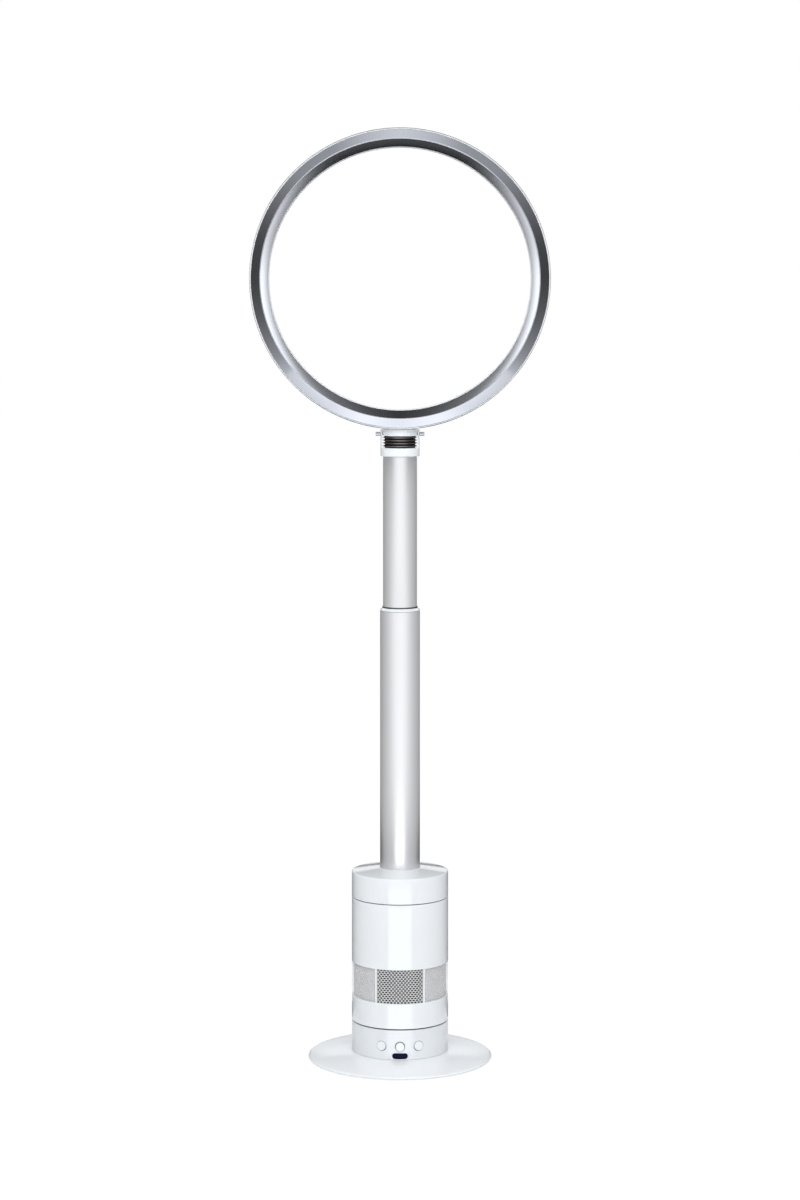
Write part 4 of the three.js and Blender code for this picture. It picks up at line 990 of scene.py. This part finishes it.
def makeInnerShell():
    # The face that the air follows is a cone from behind the slot to the front.
    lip = hoopRadius - hoopLook["lipBreadth"]
    bendOut, bendDepth = hoopLook["faceBend"]
    face = np.array([[hoopLook["faceFront"], innerLow[1]], [lip + bendOut, bendDepth], hoopLook["faceBack"],
                     [hoopLook["faceEnd"], innerHigh[1]]])
    wall = hoopLook["wall"]
    back = face[::-1] + (wall, 0)
    corners = np.vstack((face, back))
    rounding = np.array([0.4, 3, 3, 0.3, 0.3, 3, 3, 0.4])
    outline = softened(np.column_stack((corners, rounding)), 6)
    addHoopRing("loop_inner_skin", outline, "loop_inner_shell", "silver_metallised")


def makeTrim():
    # A sloping band whose inner edge rolls over into a lip, in front of the inner shell.
    outer = trimHigh[0]
    inner = outer - hoopLook["trimWidth"]
    front, slope, edge = trimLow[1], hoopLook["trimSlope"], hoopLook["trimEdge"]
    lip, lipBack = hoopLook["trimLip"], front + hoopLook["trimLipDepth"]
    back = front + slope + hoopLook["trimThickness"]
    corners = [[inner, front, lip], [outer, front + slope, edge], [outer, back, edge],
               [inner + lip, lipBack, edge], [inner, lipBack, 0.3]]
    addHoopRing("front_trim_band", softened(corners, 5), "front_trim", "silver_metallised")


makeOuterShell()
makeInnerShell()
makeTrim()
print("hoop made")

# The CAD nodes that stay, inside the object, get the finish of their slot.
slotOf = {part["node"]: part["material_slot"] for part in frame["record"]["subparts"]}
for name, node in frame["nodes"].items():
    for materialSlot in node.material_slots:
        materialSlot.material = finishes[slotOf[name]]

studio = {
    "worldLight": 0.62, "floorReach": 30, "floorColour": (0.86, 0.86, 0.86, 1), "floorGlow": 1.08,
    "floorGlowShare": 0.85, "keyPower": 66, "keyPlace": (0, -3.0, 2.6), "keySize": 2.5, "keyAimHeight": 0.7,
    "cardColour": (0.97, 0.98, 1, 1),
}


def makeWorld():
    # White to the camera, mirrors and glass, and a softer white as light.
    world = bpy.data.worlds.new("studioWorld")
    bpy.context.scene.world = world
    world.use_nodes = True
    world.node_tree.nodes.clear()
    paint = Wire(world.node_tree)
    camera = paint.node("LightPath", output=0)  # Is Camera Ray
    glossy = paint.node("LightPath", output=3)  # Is Glossy Ray
    glass = paint.node("LightPath", output=6)  # Is Transmission Ray
    seen = paint.node("Clamp", {}, {"Value": camera + glossy + glass})
    strength = studio["worldLight"] + seen * (1 - studio["worldLight"])
    background = paint.node("Background", {}, {"Color": (1, 1, 1, 1), "Strength": strength})
    paint.node("OutputWorld", {}, {"Surface": background})


def stageQuad(name, corners, material):
    # A flat four-cornered piece of the studio.
    mesh = bpy.data.meshes.new(name)
    mesh.from_pydata(corners, [], [(0, 1, 2, 3)])
    mesh.materials.append(material)
    quad = bpy.data.objects.new(name, mesh)
    bpy.context.scene.collection.objects.link(quad)
    return quad


def makeFloor():
    # Plain white, shown to the camera mostly by its own light so that it joins the background, and
    # for the rest by the light that falls on it, which keeps the shadow.
    material, paint = newMaterial("floorFinish")
    matt = paint.node("BsdfDiffuse", {}, {"Color": studio["floorColour"]})
    glow = paint.node("Emission", {}, {"Color": (1, 1, 1, 1), "Strength": studio["floorGlow"]})
    camera = paint.node("LightPath", output=0)  # Is Camera Ray
    mixed = paint.node("MixShader", {}, {0: camera * studio["floorGlowShare"], 1: matt, 2: glow})
    paint.node("OutputMaterial", {}, {"Surface": mixed})
    reach = studio["floorReach"]
    corners = [(-reach, -reach, 0), (reach, -reach, 0), (reach, reach, 0), (-reach, reach, 0)]
    stageQuad("floor", corners, material)


# Cards that only polished surfaces see, in metres. Each is a rectangle from its low corner to its
# high one. Its glow goes in straight lines between the stops, over the distance from the middle
# where it does not say that it goes over the depth or the height.
cardLooks = {
    "side": {
        "low": (1.05, -1.7, 0.0), "high": (1.05, 1.1, 3.2), "bothSides": True, "over": "height",
        "stops": [(0, 0.75), (0.13, 0.64), (0.58, 0.28), (0.9, 0.12), (1.18, 0.06), (1.46, 0.075),
                  (1.79, 0.17), (2.23, 0.33), (3.2, 0.38)],
    },
    "near": {
        "low": (0.3, -0.4, 0.27), "high": (0.3, 1.3, 0.93), "bothSides": True, "over": "depth",
        "stops": [(-0.4, 1.13), (-0.27, 1.0), (-0.12, 0.8), (0, 0.66), (0.17, 0.5), (0.4, 0.38),
                  (1.3, 0.3)],
    },
    "flank": {
        "low": (0.3, -0.4, 0.0), "high": (0.3, 1.3, 0.27), "bothSides": True, "over": "depth",
        "stops": [(-0.4, 0.6), (0, 0.5), (0.15, 0.2), (0.3, 0.08), (1.3, 0.05)],
    },
    "front": {
        "low": (-0.36, -0.37, 0.24), "high": (0.36, -0.37, 1.0),
        "stops": [(0, 1.36), (0.08, 1.33), (0.21, 1.23), (0.31, 1.12), (0.36, 1.08)],
    },
    "under": {
        "low": (-0.75, -0.45, 0.66), "high": (0.75, -0.12, 0.66),
        "stops": [(0, 1.05), (0.14, 1.25), (0.3, 0.91), (0.52, 0.64), (0.75, 0.45)],
    },
    "top": {
        "low": (-1.3, -1.8, 3.2), "high": (1.3, -0.4, 3.2),
        "stops": [(0, 0.8), (0.54, 0.6), (1.05, 0.36), (1.3, 0.34)],
    },
    "cone_back": {
        "low": (-0.08, 0.3, 0.2), "high": (0.08, 0.3, 0.285),
        "stops": [(0, 0.85), (0.08, 0.85)],
    },
    "base_back": {
        "low": (0.06, 0.3, 0.0), "high": (0.18, 0.3, 0.06), "bothSides": True,
        "stops": [(0.06, 0.85), (0.18, 0.85)],
    },
    "above": {
        "low": (-1.3, -0.3, 3.2), "high": (1.3, 4.0, 3.2),
        "stops": [(0, 0.05), (0.8, 0.05), (1.3, 0.3)],
    },
    "behind": {
        "low": (-3.2, 0.2, 0.01), "high": (3.2, 4.0, 0.01),
        "stops": [(0, 0.07), (3.2, 0.07)],
    },
    "ahead": {
        "low": (-1.6, -2.0, 0.002), "high": (1.6, -0.142, 0.002),
        "stops": [(0, 0.9), (0.1, 0.8), (0.3, 0.35), (1.6, 0.35)],
    },
}
stripLook = {"near": -0.142, "far": -1.6, "height": 0.004, "spread": 0.5, "level": 2.3}
rearLook = {
    "low": (-3.2, 4, 0.0), "high": (3.2, 4, 4.0),
    "upper": [(0, 0.04), (0.29, 0.08), (0.56, 0.15), (0.81, 0.17), (0.98, 0.24), (1.08, 0.42),
              (1.18, 0.85), (1.28, 1.35), (3.2, 1.35)],
    "lower": [(0, 0), (0.39, 0.006), (0.56, 0.015), (0.69, 0.05), (0.81, 0.15), (0.98, 0.29),
              (1.08, 0.44), (1.27, 0.7), (1.5, 1.0), (3.2, 1.0)],
    "change": (0.74, 1.22), "patchHeight": 1.07, "patchTall": (0.25, 0.45), "patchWide": (0.5, 0.75),
    "patchLevel": 1.1,
}


def cornersOf(low, high):
    # The four corners of a flat rectangle from one corner to the opposite one.
    low, high = np.array(low, float), np.array(high, float)
    first = np.flatnonzero(high - low)[0]
    corners = np.array((low, low, high, high))
    corners[1, first] = high[first]
    corners[3, first] = low[first]
    return corners


def addCard(name, corners, levelFrom):
    # A flat card whose glow is worked out from the distance from the middle, the depth and the height.
    material, paint = newMaterial(name + "_glow")
    x, y, z = (paint.node("SeparateXYZ", {}, {"Vector": paint.place()}, output=k) for k in range(3))
    level = levelFrom({"distance": abs(x), "depth": y, "height": z})
    glow = paint.node("Emission", {}, {"Color": studio["cardColour"], "Strength": level})
    paint.node("OutputMaterial", {}, {"Surface": glow})
    card = stageQuad(name, corners.tolist(), material)
    for ray in ("camera", "diffuse", "shadow", "transmission", "volume_scatter"):
        setattr(card, "visible_" + ray, False)


def rearLevel(place):
    # Dark in the middle and bright at the sides, darker still below the hoop's height, with a pale
    # patch in the very middle, which only the base reflects.
    distance, height = place["distance"], place["height"]
    upper = distance.graded(rearLook["upper"])
    lower = distance.graded(rearLook["lower"])
    level = lower + (upper - lower) * height.step(*rearLook["change"])
    wide = 1 - distance.step(*rearLook["patchWide"])
    tall = 1 - abs(height - rearLook["patchHeight"]).step(*rearLook["patchTall"])
    return level + (rearLook["patchLevel"] - level) * wide * tall


def makeStrip():
    # The bright strip down the middle of the body: a card on the floor in front, which widens with
    # the distance from the body: half width = spread * distance.
    near, far, spread, height = (stripLook[key] for key in ("near", "far", "spread", "height"))
    depths, sides = np.array((near, near, far, far)), np.array((1, -1, -1, 1))
    corners = np.column_stack((sides * spread * depths, depths, 0 * depths + height))
    addCard("card_strip", corners, lambda place: place["height"] * 0 + stripLook["level"])


def makeCards():
    for name, look in cardLooks.items():
        def levelFrom(place, look=look):
            return place[look.get("over", "distance")].graded(look["stops"])

        corners = cornersOf(look["low"], look["high"])
        addCard("card_" + name, corners, levelFrom)
        if look.get("bothSides"):
            addCard("card_" + name + "_left", corners * (-1, 1, 1), levelFrom)
    addCard("card_rear", cornersOf(rearLook["low"], rearLook["high"]), rearLevel)
    makeStrip()


def makeKeyLight():
    # A large soft lamp above the camera, which polished surfaces do not see.
    light = bpy.data.lights.new("keyLight", "AREA")
    light.energy = studio["keyPower"]
    light.size = studio["keySize"]
    lamp = bpy.data.objects.new("keyLight", light)
    lamp.location = studio["keyPlace"]
    x, y, z = studio["keyPlace"]
    lamp.rotation_euler = (math.atan2(-y, z - studio["keyAimHeight"]), 0, 0)
    lamp.visible_glossy = False
    bpy.context.scene.collection.objects.link(lamp)


makeWorld()
makeFloor()
makeCards()
makeKeyLight()

cameraLook = {"place": (0, -4.501, 1.183), "downTilt": 2.25, "lens": 89.58, "shiftUp": -0.17}


def makeCamera():
    # The photograph's viewing angle, from the height of the hoop's middle.
    camera = bpy.data.cameras.new("camera")
    camera.lens = cameraLook["lens"]
    camera.sensor_width = 36
    camera.shift_y = cameraLook["shiftUp"]
    camera.clip_end = 200
    holder = bpy.data.objects.new("camera", camera)
    holder.location = cameraLook["place"]
    holder.rotation_euler = (math.radians(90 - cameraLook["downTilt"]), 0, 0)
    bpy.context.scene.collection.objects.link(holder)
    bpy.context.scene.camera = holder


makeCamera()
bpy.context.scene.view_settings.view_transform = "Standard"

print("scene ready")
